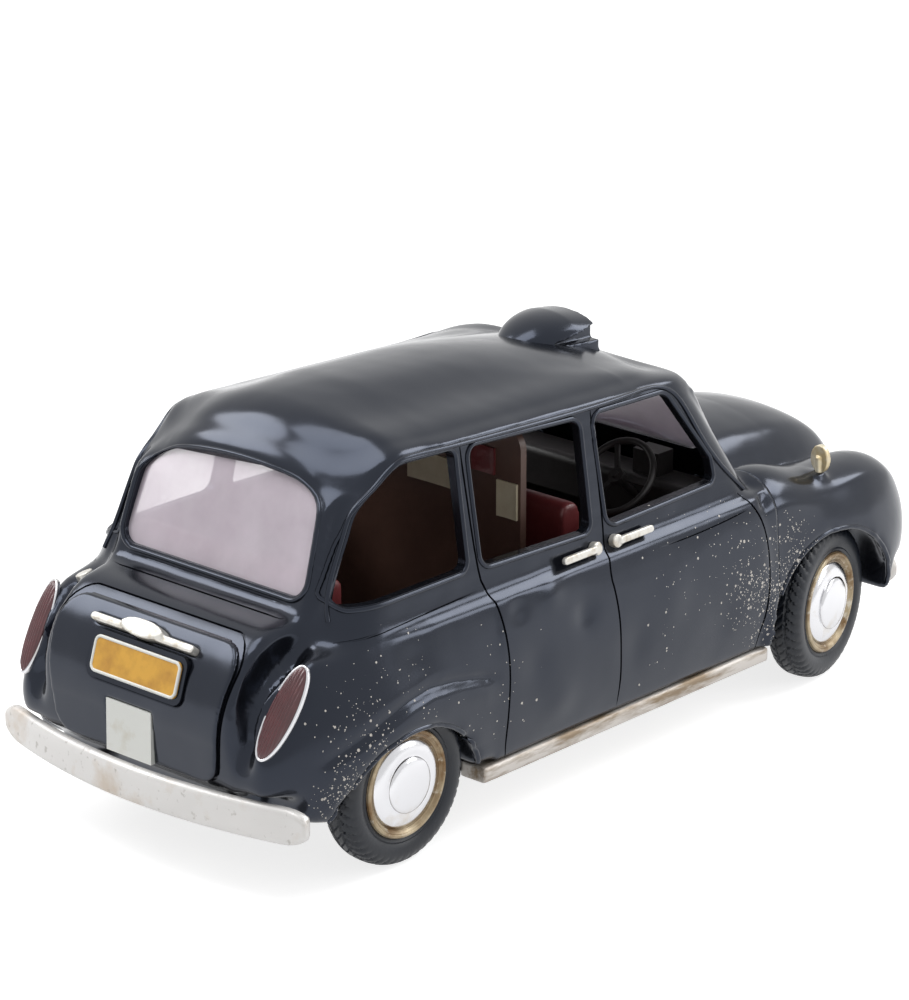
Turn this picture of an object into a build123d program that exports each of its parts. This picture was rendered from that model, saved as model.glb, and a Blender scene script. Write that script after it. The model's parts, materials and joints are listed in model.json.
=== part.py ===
"""Scale model of a taxi cab: a hollow cast body in panels, on a floor pan with two axles and four rolling wheels.

Frame: X runs forward, Y to the car's left, Z up. The origin is on the floor under the middle of the car.
All sizes are in millimetres.
"""

import os
from math import atan2, cos, degrees, radians, sin

from build123d import *

os.makedirs("parts", exist_ok=True)

# Driving dimensions: wheels and stance
WHEELBASE = 234.0
REAR_AXLE_X = -115.0
TYRE_R = 30.0
TYRE_W = 14.0
TRACK = 127.0
RIM_R = 19.6
STEER_REST = 11.0
KINGPIN_Y = 54.0
STUB_R = 1.8
RUNNING = 0.05
CLEAR = 0.3
FRONT_AXLE_X = REAR_AXLE_X + WHEELBASE
WHEEL_Y = TRACK / 2
AXLE_Z = TYRE_R

# Driving dimensions: body shell
SILL_Z = 24.0
BELT_Z = 84.0
GUTTER_Z = 135.5
GUTTER_DROP = 0.05
WALL = 3.5
SKIN = 4.0
SIDE_Y_SILL = 70.5
SIDE_Y_BULGE = 73.5
SIDE_Z_BULGE = 50.0
SIDE_Y_BELT = 68.5
CABIN_Y_BELT = 65.8
CABIN_Y_GUTTER = 55.0
SCREEN_X_BELT = 83.0
SCREEN_X_GUTTER = 54.0
BACK_X_BELT = -143.0
BACK_X_GUTTER = -126.5
FRONT_CORNER_R = 14.0
BACK_CORNER_R = 21.0
DOOR_REAR_X = REAR_AXLE_X + 47.0
DOOR_MID_X = -6.0
DOOR_FRONT_X = FRONT_AXLE_X - 41.0
SHUT_LINE = 0.8
SHUT_DEPTH = 0.9
FRONT_IN_Y = 38.0
REAR_IN_Y = 47.0
WELL_R = 35.5
REAR_WELL_R = 33.5
WELL_OUT_Y = 71.3
REAR_WELL_OUT_Y = 71.3
ARCH_HALF = 36.0
ARCH_REAR_TOP = 50.0
ARCH_FRONT_TOP = 60.0
TAIL_X = REAR_AXLE_X - 17.0

# Driving dimensions: floor and bumpers
FLOOR_T = 4.0
FLOOR_HALF = 60.0
SILL_W = 11.8
BUMPER_X = 182.0
BUMPER_HALF = 74.0
FRONT_BUMPER_HALF = 68.0
BUMPER_H = 14.0
BUMPER_T = 5.0
BUMPER_Z = 31.0
BUMPER_BOW = 12.0
FRONT_BUMPER_BOW = 16.0

FAR = 400.0
NODES = {}


def add(name, shape):
    NODES[name] = shape


def both_sides(name, left):
    """Adds a left-hand piece and its mirror image on the right."""
    add(name + "_left", left)
    add(name + "_right", mirror(left, Plane.XZ))


def add_pair(name, left):
    """Adds a left-hand piece and its mirror image as one node of two solids."""
    add(name, left + mirror(left, Plane.XZ))


def prism_y(points, y0, y1):
    """A closed outline of (x, z) points, extruded from y0 to y1."""
    face = make_face(Polyline(*[(x, 0, z) for x, z in points], close=True))
    return Pos(0, y0, 0) * extrude(face, amount=y1 - y0, dir=(0, 1, 0))


def box(x0, x1, y0, y1, z0, z1):
    return Pos((x0 + x1) / 2, (y0 + y1) / 2, (z0 + z1) / 2) * Box(x1 - x0, y1 - y0, z1 - z0)


def rounded_prism_y(points, radii, y0, y1):
    """An (x, z) outline with each corner rounded by its own radius, extruded along Y."""
    wire = FilletPolyline(*[(x, 0, z) for x, z in points], radius=radii, close=True)
    return Pos(0, y0, 0) * extrude(make_face(wire), amount=y1 - y0, dir=(0, 1, 0))


def rounded_prism_x(points, radii, x0, x1):
    """A (y, z) outline with each corner rounded by its own radius, extruded along X."""
    wire = FilletPolyline(*[(0, y, z) for y, z in points], radius=radii, close=True)
    return Pos(x0, 0, 0) * extrude(make_face(wire), amount=x1 - x0, dir=(1, 0, 0))


def between(z, z0, v0, z1, v1):
    return v0 + (z - z0) * (v1 - v0) / (z1 - z0)


def cabin_half_width(z):
    return between(z, BELT_Z, CABIN_Y_BELT, GUTTER_Z, CABIN_Y_GUTTER)


def screen_x(z):
    """The windscreen plane, raked back."""
    return between(z, BELT_Z, SCREEN_X_BELT, GUTTER_Z, SCREEN_X_GUTTER)


def back_x(z):
    """The plane of the rear window, raked forward."""
    return between(z, BELT_Z, BACK_X_BELT, GUTTER_Z, BACK_X_GUTTER)


# The cabin above the belt line

GUTTER_TILT = degrees(atan2(GUTTER_DROP, 1))
GUTTER_PLANE = Plane(
    origin=(0, 0, GUTTER_Z),
    x_dir=(cos(radians(GUTTER_TILT)), 0, -sin(radians(GUTTER_TILT))),
    z_dir=(sin(radians(GUTTER_TILT)), 0, cos(radians(GUTTER_TILT))),
)


def above_gutter():
    return GUTTER_PLANE * Pos(0, 0, FAR / 2) * Box(2 * FAR, 2 * FAR, FAR)


def cabin_block(inset, z0, z1):
    """The cabin's tapered block with rounded upright corners, drawn in by an inset."""
    half0, half1 = cabin_half_width(z0) - inset, cabin_half_width(z1) - inset
    across = make_face(Polyline((0, -half0, z0), (0, half0, z0), (0, half1, z1), (0, -half1, z1), close=True))
    along = [
        (back_x(z0) + inset, z0),
        (screen_x(z0) - inset, z0),
        (screen_x(z1) - inset, z1),
        (back_x(z1) + inset, z1),
    ]
    block = extrude(across, amount=FAR, dir=(1, 0, 0), both=True) & prism_y(along, -FAR, FAR)
    upright = [e for e in block.edges() if e.bounding_box().size.Z > (z1 - z0) / 2]
    front = [e for e in upright if e.center().X > 0]
    back = [e for e in upright if e.center().X < 0]
    block = fillet(front, FRONT_CORNER_R - inset)
    upright = [e for e in block.edges() if e.bounding_box().size.Z > (z1 - z0) / 2]
    back = [e for e in upright if e.bounding_box().max.X < back_x(z1) + BACK_CORNER_R]
    return fillet(back, BACK_CORNER_R - inset)


cabin_top = GUTTER_Z + 12.0
cabin_shell = cabin_block(0, BELT_Z, cabin_top) - cabin_block(WALL, BELT_Z - 2, cabin_top + 2) - above_gutter()

# Window openings: x or y and z of the corners, and each corner's radius
QUARTER_WINDOW = [(-136.5, 96.3), (-77.5, 96.3), (-75, 137.2), (-114.5, 139.2)]
QUARTER_RADII = [5, 4, 3, 14]
REAR_DOOR_WINDOW = [(-69.3, 95.5), (-13, 93.5), (-10.5, 132.5), (-67.5, 136.3)]
FRONT_DOOR_WINDOW = [(-3, 93.4), (56.4, 94.5), (56, 103), (37, 131), (-2.5, 132.3)]
DOOR_WINDOW_RADII = [4, 4, 4, 4]
FRONT_WINDOW_RADII = [4, 3, 3, 6, 4]
SCREEN = [(-50, 98), (50, 98), (42, 129.5), (-42, 129.5)]
BACK_WINDOW = [(-41.5, 96), (41.5, 96), (36, 132.5), (-36, 132.5)]
GLASS_RADII = [8, 8, 8, 8]

side_windows = [
    rounded_prism_y(QUARTER_WINDOW, QUARTER_RADII, -FAR, FAR),
    rounded_prism_y(REAR_DOOR_WINDOW, DOOR_WINDOW_RADII, -FAR, FAR),
    rounded_prism_y(FRONT_DOOR_WINDOW, FRONT_WINDOW_RADII, -FAR, FAR),
]
quarter_openings = [
    rounded_prism_y(QUARTER_WINDOW, QUARTER_RADII, CABIN_Y_GUTTER / 2, FAR),
    rounded_prism_y(QUARTER_WINDOW, QUARTER_RADII, -FAR, -CABIN_Y_GUTTER / 2),
]
screen_opening = rounded_prism_x(SCREEN, GLASS_RADII, 0, FAR)
back_opening = rounded_prism_x(BACK_WINDOW, GLASS_RADII, -FAR, 0)


# Side panels: the doors' skins below the belt, and the window frames above it


def door_profile(inset):
    """The side's section across the doors, from the middle of the car out to the skin."""
    return make_face(
        [
            Line((0, 0, SILL_Z), (0, SIDE_Y_SILL - inset, SILL_Z)),
            ThreePointArc(
                (0, SIDE_Y_SILL - inset, SILL_Z),
                (0, SIDE_Y_BULGE - inset, SIDE_Z_BULGE),
                (0, SIDE_Y_BELT - inset, BELT_Z),
            ),
            Line((0, SIDE_Y_BELT - inset, BELT_Z), (0, 0, BELT_Z)),
            Line((0, 0, BELT_Z), (0, 0, SILL_Z)),
        ]
    )


def door_block(inset, x0, x1):
    return Pos(x0, 0, 0) * extrude(door_profile(inset), amount=x1 - x0, dir=(1, 0, 0))


SIDE_FRONT_IN = FRONT_CORNER_R + 1.0
SIDE_BACK_IN = BACK_CORNER_R + 1.0
side_region = [
    (back_x(BELT_Z) + SIDE_BACK_IN, BELT_Z),
    (screen_x(BELT_Z) - SIDE_FRONT_IN, BELT_Z),
    (screen_x(cabin_top) - SIDE_FRONT_IN, cabin_top),
    (back_x(cabin_top) + SIDE_BACK_IN, cabin_top),
]
side_frame = cabin_shell & prism_y(side_region, CABIN_Y_GUTTER / 2, FAR)
door_skin = door_block(0, DOOR_REAR_X, DOOR_FRONT_X) - door_block(SKIN, DOOR_REAR_X - 1, DOOR_FRONT_X + 1)
side_panel = side_frame + door_skin
for opening in side_windows:
    side_panel -= opening
for line_x in (DOOR_MID_X,):
    groove = box(line_x - SHUT_LINE / 2, line_x + SHUT_LINE / 2, 0, FAR, SILL_Z, BELT_Z)
    side_panel -= groove - door_block(SHUT_DEPTH, DOOR_REAR_X, DOOR_FRONT_X)
both_sides("side_panel", side_panel)

front_region = [side_region[1], (SCREEN_X_BELT + 5, BELT_Z), (SCREEN_X_BELT + 5, cabin_top), side_region[2]]
back_region = [(BACK_X_BELT - 5, BELT_Z), side_region[0], side_region[3], (BACK_X_BELT - 5, cabin_top)]
add("windscreen_frame", (cabin_shell & prism_y(front_region, -FAR, FAR)) - screen_opening)
back_panel = (cabin_shell & prism_y(back_region, -FAR, FAR)) - back_opening
for opening in quarter_openings:
    back_panel -= opening
add("back_panel", back_panel)

# Glass, set in the middle of the wall
GLASS_T = 1.4


def glass(plane_x, opening, gap):
    """A slab between two offsets of a raked plane, cut to its opening."""
    z0, z1 = BELT_Z, cabin_top
    lean = 1 if plane_x(z0) > 0 else -1
    inner, outer = gap, gap + GLASS_T
    slab = prism_y(
        [
            (plane_x(z0) - lean * outer, z0),
            (plane_x(z0) - lean * inner, z0),
            (plane_x(z1) - lean * inner, z1),
            (plane_x(z1) - lean * outer, z1),
        ],
        -FAR,
        FAR,
    )
    return slab & opening


add("windscreen_glass", glass(screen_x, screen_opening, 1.0))
add("rear_window_glass", glass(back_x, back_opening, 1.0))

# Roof: a dome of five levels above the gutter
# height above the gutter, inset at the sides, at the front and at the back
ROOF_LEVELS = [
    (0.0, 0.0, 0.0, 0.0),
    (5.0, 5.0, 8.0, 4.0),
    (10.0, 15.0, 28.0, 11.0),
    (14.0, 30.0, 60.0, 24.0),
    (16.2, 45.0, 92.0, 44.0),
]
ROOF_EDGE = 0.1
ROOF_EDGE_T = 1.8


def roof_outline(height, side, front, back, grow):
    """The cabin's outline in the gutter's plane, drawn in by its insets."""
    x0 = back_x(GUTTER_Z + 6) + back - grow
    x1 = screen_x(GUTTER_Z - 3) - front + grow
    half = CABIN_Y_GUTTER - side + grow
    r0, r1 = min(BACK_CORNER_R + side / 10, 0.85 * half), min(FRONT_CORNER_R + side / 3, 0.85 * half)
    sketch = FilletPolyline(
        (x0, -half), (x1, -half), (x1, half), (x0, half), radius=[r0, r1, r1, r0], close=True
    )
    return GUTTER_PLANE.offset(height) * make_face(sketch)


def roof_dome(inset):
    levels = [roof_outline(max(h - inset, 0) if h else -inset / 4, s, f, b, -inset) for h, s, f, b in ROOF_LEVELS]
    return loft(levels)


roof_edge = extrude(roof_outline(0, 0, 0, 0, ROOF_EDGE), amount=ROOF_EDGE_T, dir=tuple(GUTTER_PLANE.z_dir))
roof_hollow = roof_dome(WALL)
add("roof", roof_dome(0) + roof_edge - roof_hollow)

# Wings: sections along the car, each a bulging arc, a shoulder and a top
# x, z_low, y_low, y_bulge, z_bulge, y_shoulder, z_shoulder, y_top, z_top, z_in
FRONT_WING = [
    (DOOR_FRONT_X, SILL_Z, SIDE_Y_SILL, SIDE_Y_BULGE, SIDE_Z_BULGE, 69.6, 78.0, 62.0, 83.0, 80.0),
    (FRONT_AXLE_X, SILL_Z, 73.0, 75.5, 50.0, 70.0, 76.0, 60.0, 82.0, 74.0),
    (148.0, SILL_Z, 72.0, 75.0, 50.0, 68.5, 75.5, 58.0, 80.5, 71.0),
    (163.0, 28.0, 68.0, 71.5, 50.0, 65.5, 71.0, 55.0, 76.0, 67.0),
    (172.5, 36.0, 61.0, 65.0, 50.0, 60.0, 64.5, 52.0, 68.5, 62.0),
    (177.0, 42.0, 55.0, 57.5, 50.0, 54.0, 59.0, 50.0, 62.0, 57.0),
]
REAR_WING = [
    (DOOR_REAR_X, SILL_Z, SIDE_Y_SILL, SIDE_Y_BULGE, SIDE_Z_BULGE, 72.4, 65.0, SIDE_Y_BELT, BELT_Z, BELT_Z),
    (REAR_AXLE_X, SILL_Z, 73.3, 75.8, 46.0, 73.2, 65.0, 67.6, BELT_Z, BELT_Z),
    (REAR_AXLE_X - 25, SILL_Z, 71.5, 74.2, 46.0, 71.4, 65.0, 64.6, BELT_Z, BELT_Z),
    (REAR_AXLE_X - 45, 28.0, 66.0, 68.8, 46.0, 66.6, 61.5, 59.5, 80.5, 79.0),
    (REAR_AXLE_X - 60, 36.0, 56.0, 59.0, 46.0, 57.4, 54.5, 54.0, 60.0, 61.0),
]


def wing_section(row, y_in):
    x, z_low, y_low, y_bulge, z_bulge, y_sh, z_sh, y_top, z_top, z_in = row
    return make_face(
        [
            Line((x, y_in, z_low), (x, y_low, z_low)),
            ThreePointArc((x, y_low, z_low), (x, y_bulge, z_bulge), (x, y_sh, z_sh)),
            Line((x, y_sh, z_sh), (x, y_top, z_top)),
            Line((x, y_top, z_top), (x, y_in, z_in)),
            Line((x, y_in, z_in), (x, y_in, z_low)),
        ]
    )


def crowned_section(row, y_in):
    """A front wing's section, with an arc over its crown."""
    x, z_low, y_low, y_bulge, z_bulge, y_sh, z_sh, y_top, z_top, z_in = row
    return make_face(
        [
            Line((x, y_in, z_low), (x, y_low, z_low)),
            ThreePointArc((x, y_low, z_low), (x, y_bulge, z_bulge), (x, y_sh, z_sh)),
            ThreePointArc((x, y_sh, z_sh), (x, y_top, z_top), (x, y_in, z_in)),
            Line((x, y_in, z_in), (x, y_in, z_low)),
        ]
    )


def arch_opening(axle_x, top):
    """The wheel arch: an arc over the wheel, open downwards."""
    face = make_face(
        [
            Line((axle_x - ARCH_HALF, 0, 0), (axle_x - ARCH_HALF, 0, SILL_Z)),
            ThreePointArc(
                (axle_x - ARCH_HALF, 0, SILL_Z), (axle_x, 0, top), (axle_x + ARCH_HALF, 0, SILL_Z)
            ),
            Line((axle_x + ARCH_HALF, 0, SILL_Z), (axle_x + ARCH_HALF, 0, 0)),
            Line((axle_x + ARCH_HALF, 0, 0), (axle_x - ARCH_HALF, 0, 0)),
        ]
    )
    return extrude(face, amount=FAR, dir=(0, 1, 0))


def wheel_well(axle_x, radius, y0, y1):
    well = Pos(axle_x, (y0 + y1) / 2, AXLE_Z) * Rot(90, 0, 0) * Cylinder(radius, y1 - y0)
    return well + box(axle_x - radius, axle_x + radius, y0, y1, 0, AXLE_Z)


WELL_WALL = 2.0
AXLE_R = 2.0
BUMPER_TOP = BUMPER_Z + BUMPER_H / 2 + 1.0
BUMPER_ROOM_X = BUMPER_X - 20.0
FRONT_ROOM_X = BUMPER_X - BUMPER_T - FRONT_BUMPER_BOW - 2.0
above_floor = box(-FAR, FAR, -FAR, FAR, SILL_Z, FAR)
cabin_outside = cabin_block(0, BELT_Z, cabin_top)

front_wing = loft([crowned_section(row, FRONT_IN_Y) for row in FRONT_WING], ruled=False)
front_wing = (front_wing & above_floor & box(DOOR_FRONT_X, FAR, FRONT_IN_Y, FAR, 0, FAR)) - cabin_outside
front_wing -= box(FRONT_ROOM_X, FAR, 0, FAR, 0, BUMPER_TOP)
front_wing -= wheel_well(FRONT_AXLE_X, WELL_R, FRONT_IN_Y - 1, WELL_OUT_Y) + arch_opening(FRONT_AXLE_X, ARCH_FRONT_TOP)

rear_wing = loft([wing_section(row, REAR_IN_Y) for row in REAR_WING])
rear_wing = (rear_wing & above_floor & box(-FAR, DOOR_REAR_X, REAR_IN_Y, FAR, 0, FAR)) - cabin_outside
rear_wing &= box(-FAR, FAR, 0, FAR, 0, BELT_Z) + box(-FAR, TAIL_X + 2, 0, FAR, 0, FAR)
rear_wing -= wheel_well(REAR_AXLE_X, REAR_WELL_R, REAR_IN_Y + WELL_WALL, REAR_WELL_OUT_Y) + (
    arch_opening(REAR_AXLE_X, ARCH_REAR_TOP) & box(-FAR, FAR, REAR_WELL_OUT_Y - 1, FAR, 0, FAR)
)
rear_wing -= Pos(REAR_AXLE_X, REAR_IN_Y, AXLE_Z) * Rot(90, 0, 0) * Cylinder(AXLE_R + CLEAR, 10)
rear_wing -= box(-FAR, -BUMPER_ROOM_X, 0, FAR, 0, BUMPER_TOP)

# Bonnet and the block under it
BONNET_Z = 60.0
# x, half width, crown height
BONNET = [(84.0, 37.5, 97.0), (119.0, 37.0, 95.5), (150.0, 35.0, 88.0), (168.0, 31.0, 77.0), (177.0, 26.0, 66.0)]


def bonnet_section(x, half, crown):
    h = crown - BONNET_Z
    side = [(x, half, BONNET_Z), (x, 0.98 * half, BONNET_Z + 0.5 * h), (x, 0.74 * half, BONNET_Z + 0.86 * h)]
    other = [(x, -y, z) for _, y, z in side]
    return make_face(
        [
            Line(other[0], side[0]),
            ThreePointArc(*side),
            ThreePointArc(side[2], (x, 0, crown), other[2]),
            ThreePointArc(other[2], other[1], other[0]),
        ]
    )


def ahead_of_screen():
    return prism_y(
        [(screen_x(0) + CLEAR, 0), (FAR, 0), (FAR, cabin_top), (screen_x(cabin_top) + CLEAR, cabin_top)], -FAR, FAR
    )


bonnet = loft([bonnet_section(*row) for row in BONNET])
bonnet &= ahead_of_screen() & box(0, FAR, -FRONT_IN_Y + 0.1, FRONT_IN_Y - 0.1, BONNET_Z, FAR)
add("bonnet", bonnet)

FIREWALL_X = 84.0
NOSE_X = 174.0
AXLE_SLOT = 5.0
front_body = box(FIREWALL_X, NOSE_X, -FRONT_IN_Y, FRONT_IN_Y, SILL_Z, BONNET_Z)
front_body = fillet(front_body.edges().filter_by(Axis.Z).group_by(Axis.X)[-1], 8)
front_body -= box(FRONT_AXLE_X - AXLE_SLOT, FRONT_AXLE_X + AXLE_SLOT, -FAR, FAR, 0, AXLE_Z + AXLE_SLOT)
front_body -= box(NOSE_X - 4, FAR, -FAR, FAR, 0, BUMPER_TOP)
add("front_body", front_body)

# Tail block, boot lid and its plates
BOOT_TOP_Z = 92.0
BOOT_EDGE_X, BOOT_EDGE_Z = -156.0, 90.5
BOOT_MID_X, BOOT_MID_Z = -170.5, 78.0
BOOT_BACK_X, BOOT_BACK_Z = -176.0, 54.0
BOOT_LOW_X = -175.0
TAIL_FOOT_X, TAIL_FOOT_Z = -168.0, 34.0
FLOOR_FRONT = 168.0
FLOOR_BACK = -166.0


def tail_profile(grow):
    """The boot's side outline: a shelf below the rear window, a rounded back and a tucked-in foot."""
    return make_face(
        [
            Line((TAIL_X, 0, SILL_Z), (TAIL_X, 0, BELT_Z)),
            Line((TAIL_X, 0, BELT_Z), (BACK_X_BELT, 0, BELT_Z)),
            Line((BACK_X_BELT, 0, BELT_Z), (back_x(BOOT_TOP_Z), 0, BOOT_TOP_Z + grow)),
            Line((back_x(BOOT_TOP_Z), 0, BOOT_TOP_Z + grow), (BOOT_EDGE_X, 0, BOOT_EDGE_Z + grow)),
            ThreePointArc(
                (BOOT_EDGE_X, 0, BOOT_EDGE_Z + grow),
                (BOOT_MID_X - 0.8 * grow, 0, BOOT_MID_Z + 0.6 * grow),
                (BOOT_BACK_X - grow, 0, BOOT_BACK_Z),
            ),
            Line((BOOT_BACK_X - grow, 0, BOOT_BACK_Z), (BOOT_LOW_X - grow, 0, BUMPER_TOP)),
            Line((BOOT_LOW_X - grow, 0, BUMPER_TOP), (TAIL_FOOT_X, 0, TAIL_FOOT_Z)),
            Line((TAIL_FOOT_X, 0, TAIL_FOOT_Z), (FLOOR_BACK, 0, SILL_Z)),
            Line((FLOOR_BACK, 0, SILL_Z), (TAIL_X, 0, SILL_Z)),
        ]
    )


def tail_solid(grow, half):
    return Pos(0, -half, 0) * extrude(tail_profile(grow), amount=2 * half, dir=(0, 1, 0))


LID_PROUD = 1.6
LID_TOP_Z = 87.0
LID_OUTLINE = [(-39, BUMPER_TOP + 0.5), (39, BUMPER_TOP + 0.5), (44, LID_TOP_Z), (-44, LID_TOP_Z)]
LID_RADII = [8, 8, 9, 9]
tail = tail_solid(0, REAR_IN_Y)
lid = (tail_solid(LID_PROUD, REAR_IN_Y) - tail) & rounded_prism_x(LID_OUTLINE, LID_RADII, -FAR, TAIL_X)
lid -= box(-FAR, FAR, -FAR, FAR, 0, BUMPER_TOP + 0.5)

# Floor pan with bearing blocks for the axles
FLOOR_MID = REAR_AXLE_X + ARCH_HALF + 1
floor = box(FLOOR_MID, FIREWALL_X, -FLOOR_HALF, FLOOR_HALF, SILL_Z - FLOOR_T, SILL_Z)
floor += box(FLOOR_BACK, FLOOR_MID, -REAR_IN_Y, REAR_IN_Y, SILL_Z - FLOOR_T, SILL_Z)
floor += box(FIREWALL_X, FLOOR_FRONT, -FRONT_IN_Y, FRONT_IN_Y, SILL_Z - FLOOR_T, SILL_Z)
BEARING_Y = 26.0
BEARING = 8.0
BEAM = 6.0
for y in (-BEARING_Y, BEARING_Y):
    floor += box(
        REAR_AXLE_X - BEARING / 2, REAR_AXLE_X + BEARING / 2, y - 4, y + 4, SILL_Z, AXLE_Z + BEARING / 2
    )
    floor += box(FRONT_AXLE_X - 4, FRONT_AXLE_X + 4, y - 4, y + 4, SILL_Z, AXLE_Z - BEAM / 2)
floor -= Pos(REAR_AXLE_X, 0, AXLE_Z) * Rot(90, 0, 0) * Cylinder(AXLE_R, 2 * FLOOR_HALF)
SCREW_R = 1.6
SCREW_X = 60.0
for x in (-SCREW_X, SCREW_X):
    floor -= Pos(x, 0, SILL_Z) * Cylinder(SCREW_R, 4 * FLOOR_T)
add("floor_pan", floor)

SILL_X0, SILL_X1 = REAR_AXLE_X + ARCH_HALF + 2, FRONT_AXLE_X - ARCH_HALF - 1
SILL_OUT_Y = FLOOR_HALF + SILL_W
sill = box(SILL_X0, SILL_X1, FLOOR_HALF, SILL_OUT_Y, SILL_Z - 6, SILL_Z)
add_pair("sills", fillet(sill.edges().filter_by(Axis.X).group_by(Axis.Y)[-1], 1.5))

# Axles and knuckles
HUB_IN = 1.0
STUB_END = WHEEL_Y + 4.5
rear_axle = Pos(REAR_AXLE_X, 0, AXLE_Z) * Rot(90, 0, 0) * Cylinder(AXLE_R, 2 * STUB_END)
add("rear_axle", rear_axle)

EYE_R = 4.5
EYE_H = 8.0
PIN_R = 2.0
beam = box(-BEAM / 2, BEAM / 2, -KINGPIN_Y, KINGPIN_Y, -BEAM / 2, BEAM / 2)
for side in (-1, 1):
    beam += Pos(0, side * KINGPIN_Y, 0) * Cylinder(EYE_R, EYE_H)
for side in (-1, 1):
    beam -= Pos(0, side * KINGPIN_Y, 0) * Cylinder(PIN_R + RUNNING, 2 * EYE_H)
add("front_axle", Pos(FRONT_AXLE_X, 0, AXLE_Z) * beam)

YOKE_T = 2.0
YOKE_GAP = 0.3
YOKE_Y = EYE_R + 0.8


def knuckle():
    """A fork over the axle's eye with its kingpin, and the stub that carries a left wheel."""
    top = EYE_H / 2 + YOKE_GAP
    shape = Cylinder(PIN_R, 2 * (top + YOKE_T))
    for z in (top, -top - YOKE_T):
        shape += box(-3, 3, -3, YOKE_Y + YOKE_T, z, z + YOKE_T)
    shape += box(-3, 3, YOKE_Y, YOKE_Y + YOKE_T, -top - YOKE_T, top + YOKE_T)
    length = STUB_END - KINGPIN_Y - YOKE_Y
    shape += Pos(0, YOKE_Y + length / 2, 0) * Rot(90, 0, 0) * Cylinder(STUB_R, length)
    return shape


# Wheels, drawn as a left wheel about the Y axis, with the outer side towards +Y
TYRE_SHOULDER = 4.5
WHEEL_DISC_T = 3.0
DISC_Y = 2.0
HUB_R = 4.5


def ring(points):
    """Turns a closed (radius, y) outline about the Y axis."""
    return revolve(make_face(Polyline(*[(r, y, 0) for r, y in points], close=True)), Axis.Y, 360)


def tyre():
    half = TYRE_W / 2
    lines = [
        Line((RIM_R, -half + 1, 0), (TYRE_R - TYRE_SHOULDER, -half, 0)),
        ThreePointArc(
            (TYRE_R - TYRE_SHOULDER, -half, 0), (TYRE_R - 1.2, -half + 1.4, 0), (TYRE_R, -half + TYRE_SHOULDER, 0)
        ),
        Line((TYRE_R, -half + TYRE_SHOULDER, 0), (TYRE_R, half - TYRE_SHOULDER, 0)),
        ThreePointArc(
            (TYRE_R, half - TYRE_SHOULDER, 0), (TYRE_R - 1.2, half - 1.4, 0), (TYRE_R - TYRE_SHOULDER, half, 0)
        ),
        Line((TYRE_R - TYRE_SHOULDER, half, 0), (RIM_R, half - 1, 0)),
        Line((RIM_R, half - 1, 0), (RIM_R, -half + 1, 0)),
    ]
    return revolve(make_face(lines), Axis.Y, 360)


def rim():
    half = TYRE_W / 2
    barrel = ring(
        [
            (RIM_R, -half + 1),
            (RIM_R, half - 1),
            (RIM_R - 1.8, half - 0.2),
            (RIM_R - 2.6, half - 1.2),
            (RIM_R - 3.4, DISC_Y + WHEEL_DISC_T),
            (HUB_R + 1, DISC_Y + WHEEL_DISC_T),
            (HUB_R + 1, DISC_Y),
            (RIM_R - 2, DISC_Y),
            (RIM_R - 2, -half + 1),
        ]
    )
    hub = Pos(0, (DISC_Y + WHEEL_DISC_T) / 2 + 0.5, 0) * Rot(90, 0, 0) * Cylinder(HUB_R + 1, DISC_Y + WHEEL_DISC_T - 1)
    return barrel + hub


CAP_R = 14.5
CAP_STEP_R = 9.5


def hubcap():
    """A domed cap with a raised middle disc."""
    base = DISC_Y + WHEEL_DISC_T
    outline = [
        Line((0, base, 0), (CAP_R, base, 0)),
        ThreePointArc((CAP_R, base, 0), (CAP_R - 1.2, base + 1.9, 0), (CAP_STEP_R + 0.8, base + 3.0, 0)),
        Line((CAP_STEP_R + 0.8, base + 3.0, 0), (CAP_STEP_R, base + 3.4, 0)),
        ThreePointArc((CAP_STEP_R, base + 3.4, 0), (CAP_STEP_R * 0.55, base + 4.2, 0), (1, base + 4.5, 0)),
        Line((1, base + 4.5, 0), (0, base + 4.5, 0)),
        Line((0, base + 4.5, 0), (0, base, 0)),
    ]
    return revolve(make_face(outline), Axis.Y, 360)


def wheel_bore(radius):
    """The running bore through a hub, closed at its outer end by the hubcap."""
    return Rot(90, 0, 0) * Cylinder(radius + RUNNING, 3 * TYRE_W)


def place_wheel(shape, axle_x, side, steered):
    """Moves a left-hand wheel piece to its axle end, turned with its knuckle if it is steered."""
    turned = shape if side > 0 else Rot(0, 0, 180) * shape
    if not steered:
        return Pos(axle_x, side * WHEEL_Y, AXLE_Z) * turned
    reach = side * (WHEEL_Y - KINGPIN_Y)
    return Pos(axle_x, side * KINGPIN_Y, AXLE_Z) * Rot(0, 0, STEER_REST) * Pos(0, reach, 0) * turned


WHEELS = [
    ("front_left", FRONT_AXLE_X, 1, True, STUB_R),
    ("front_right", FRONT_AXLE_X, -1, True, STUB_R),
    ("rear_left", REAR_AXLE_X, 1, False, AXLE_R),
    ("rear_right", REAR_AXLE_X, -1, False, AXLE_R),
]
for name, axle_x, side, steered, stub in WHEELS:
    add("tyre_" + name, place_wheel(tyre(), axle_x, side, steered))
    add("rim_" + name, place_wheel(rim() - wheel_bore(stub), axle_x, side, steered))
    add("hubcap_" + name, place_wheel(hubcap(), axle_x, side, steered))
    if steered:
        turned = knuckle() if side > 0 else Rot(0, 0, 180) * knuckle()
        add("knuckle_" + name.split("_")[1], Pos(axle_x, side * KINGPIN_Y, AXLE_Z) * Rot(0, 0, STEER_REST) * turned)


# Bumpers: a rounded blade swept along a bowed line, on two irons from the floor pan
IRON_Y = 30.0
IRON_T = 2.8
IRON_KNEE = 6.0


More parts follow.
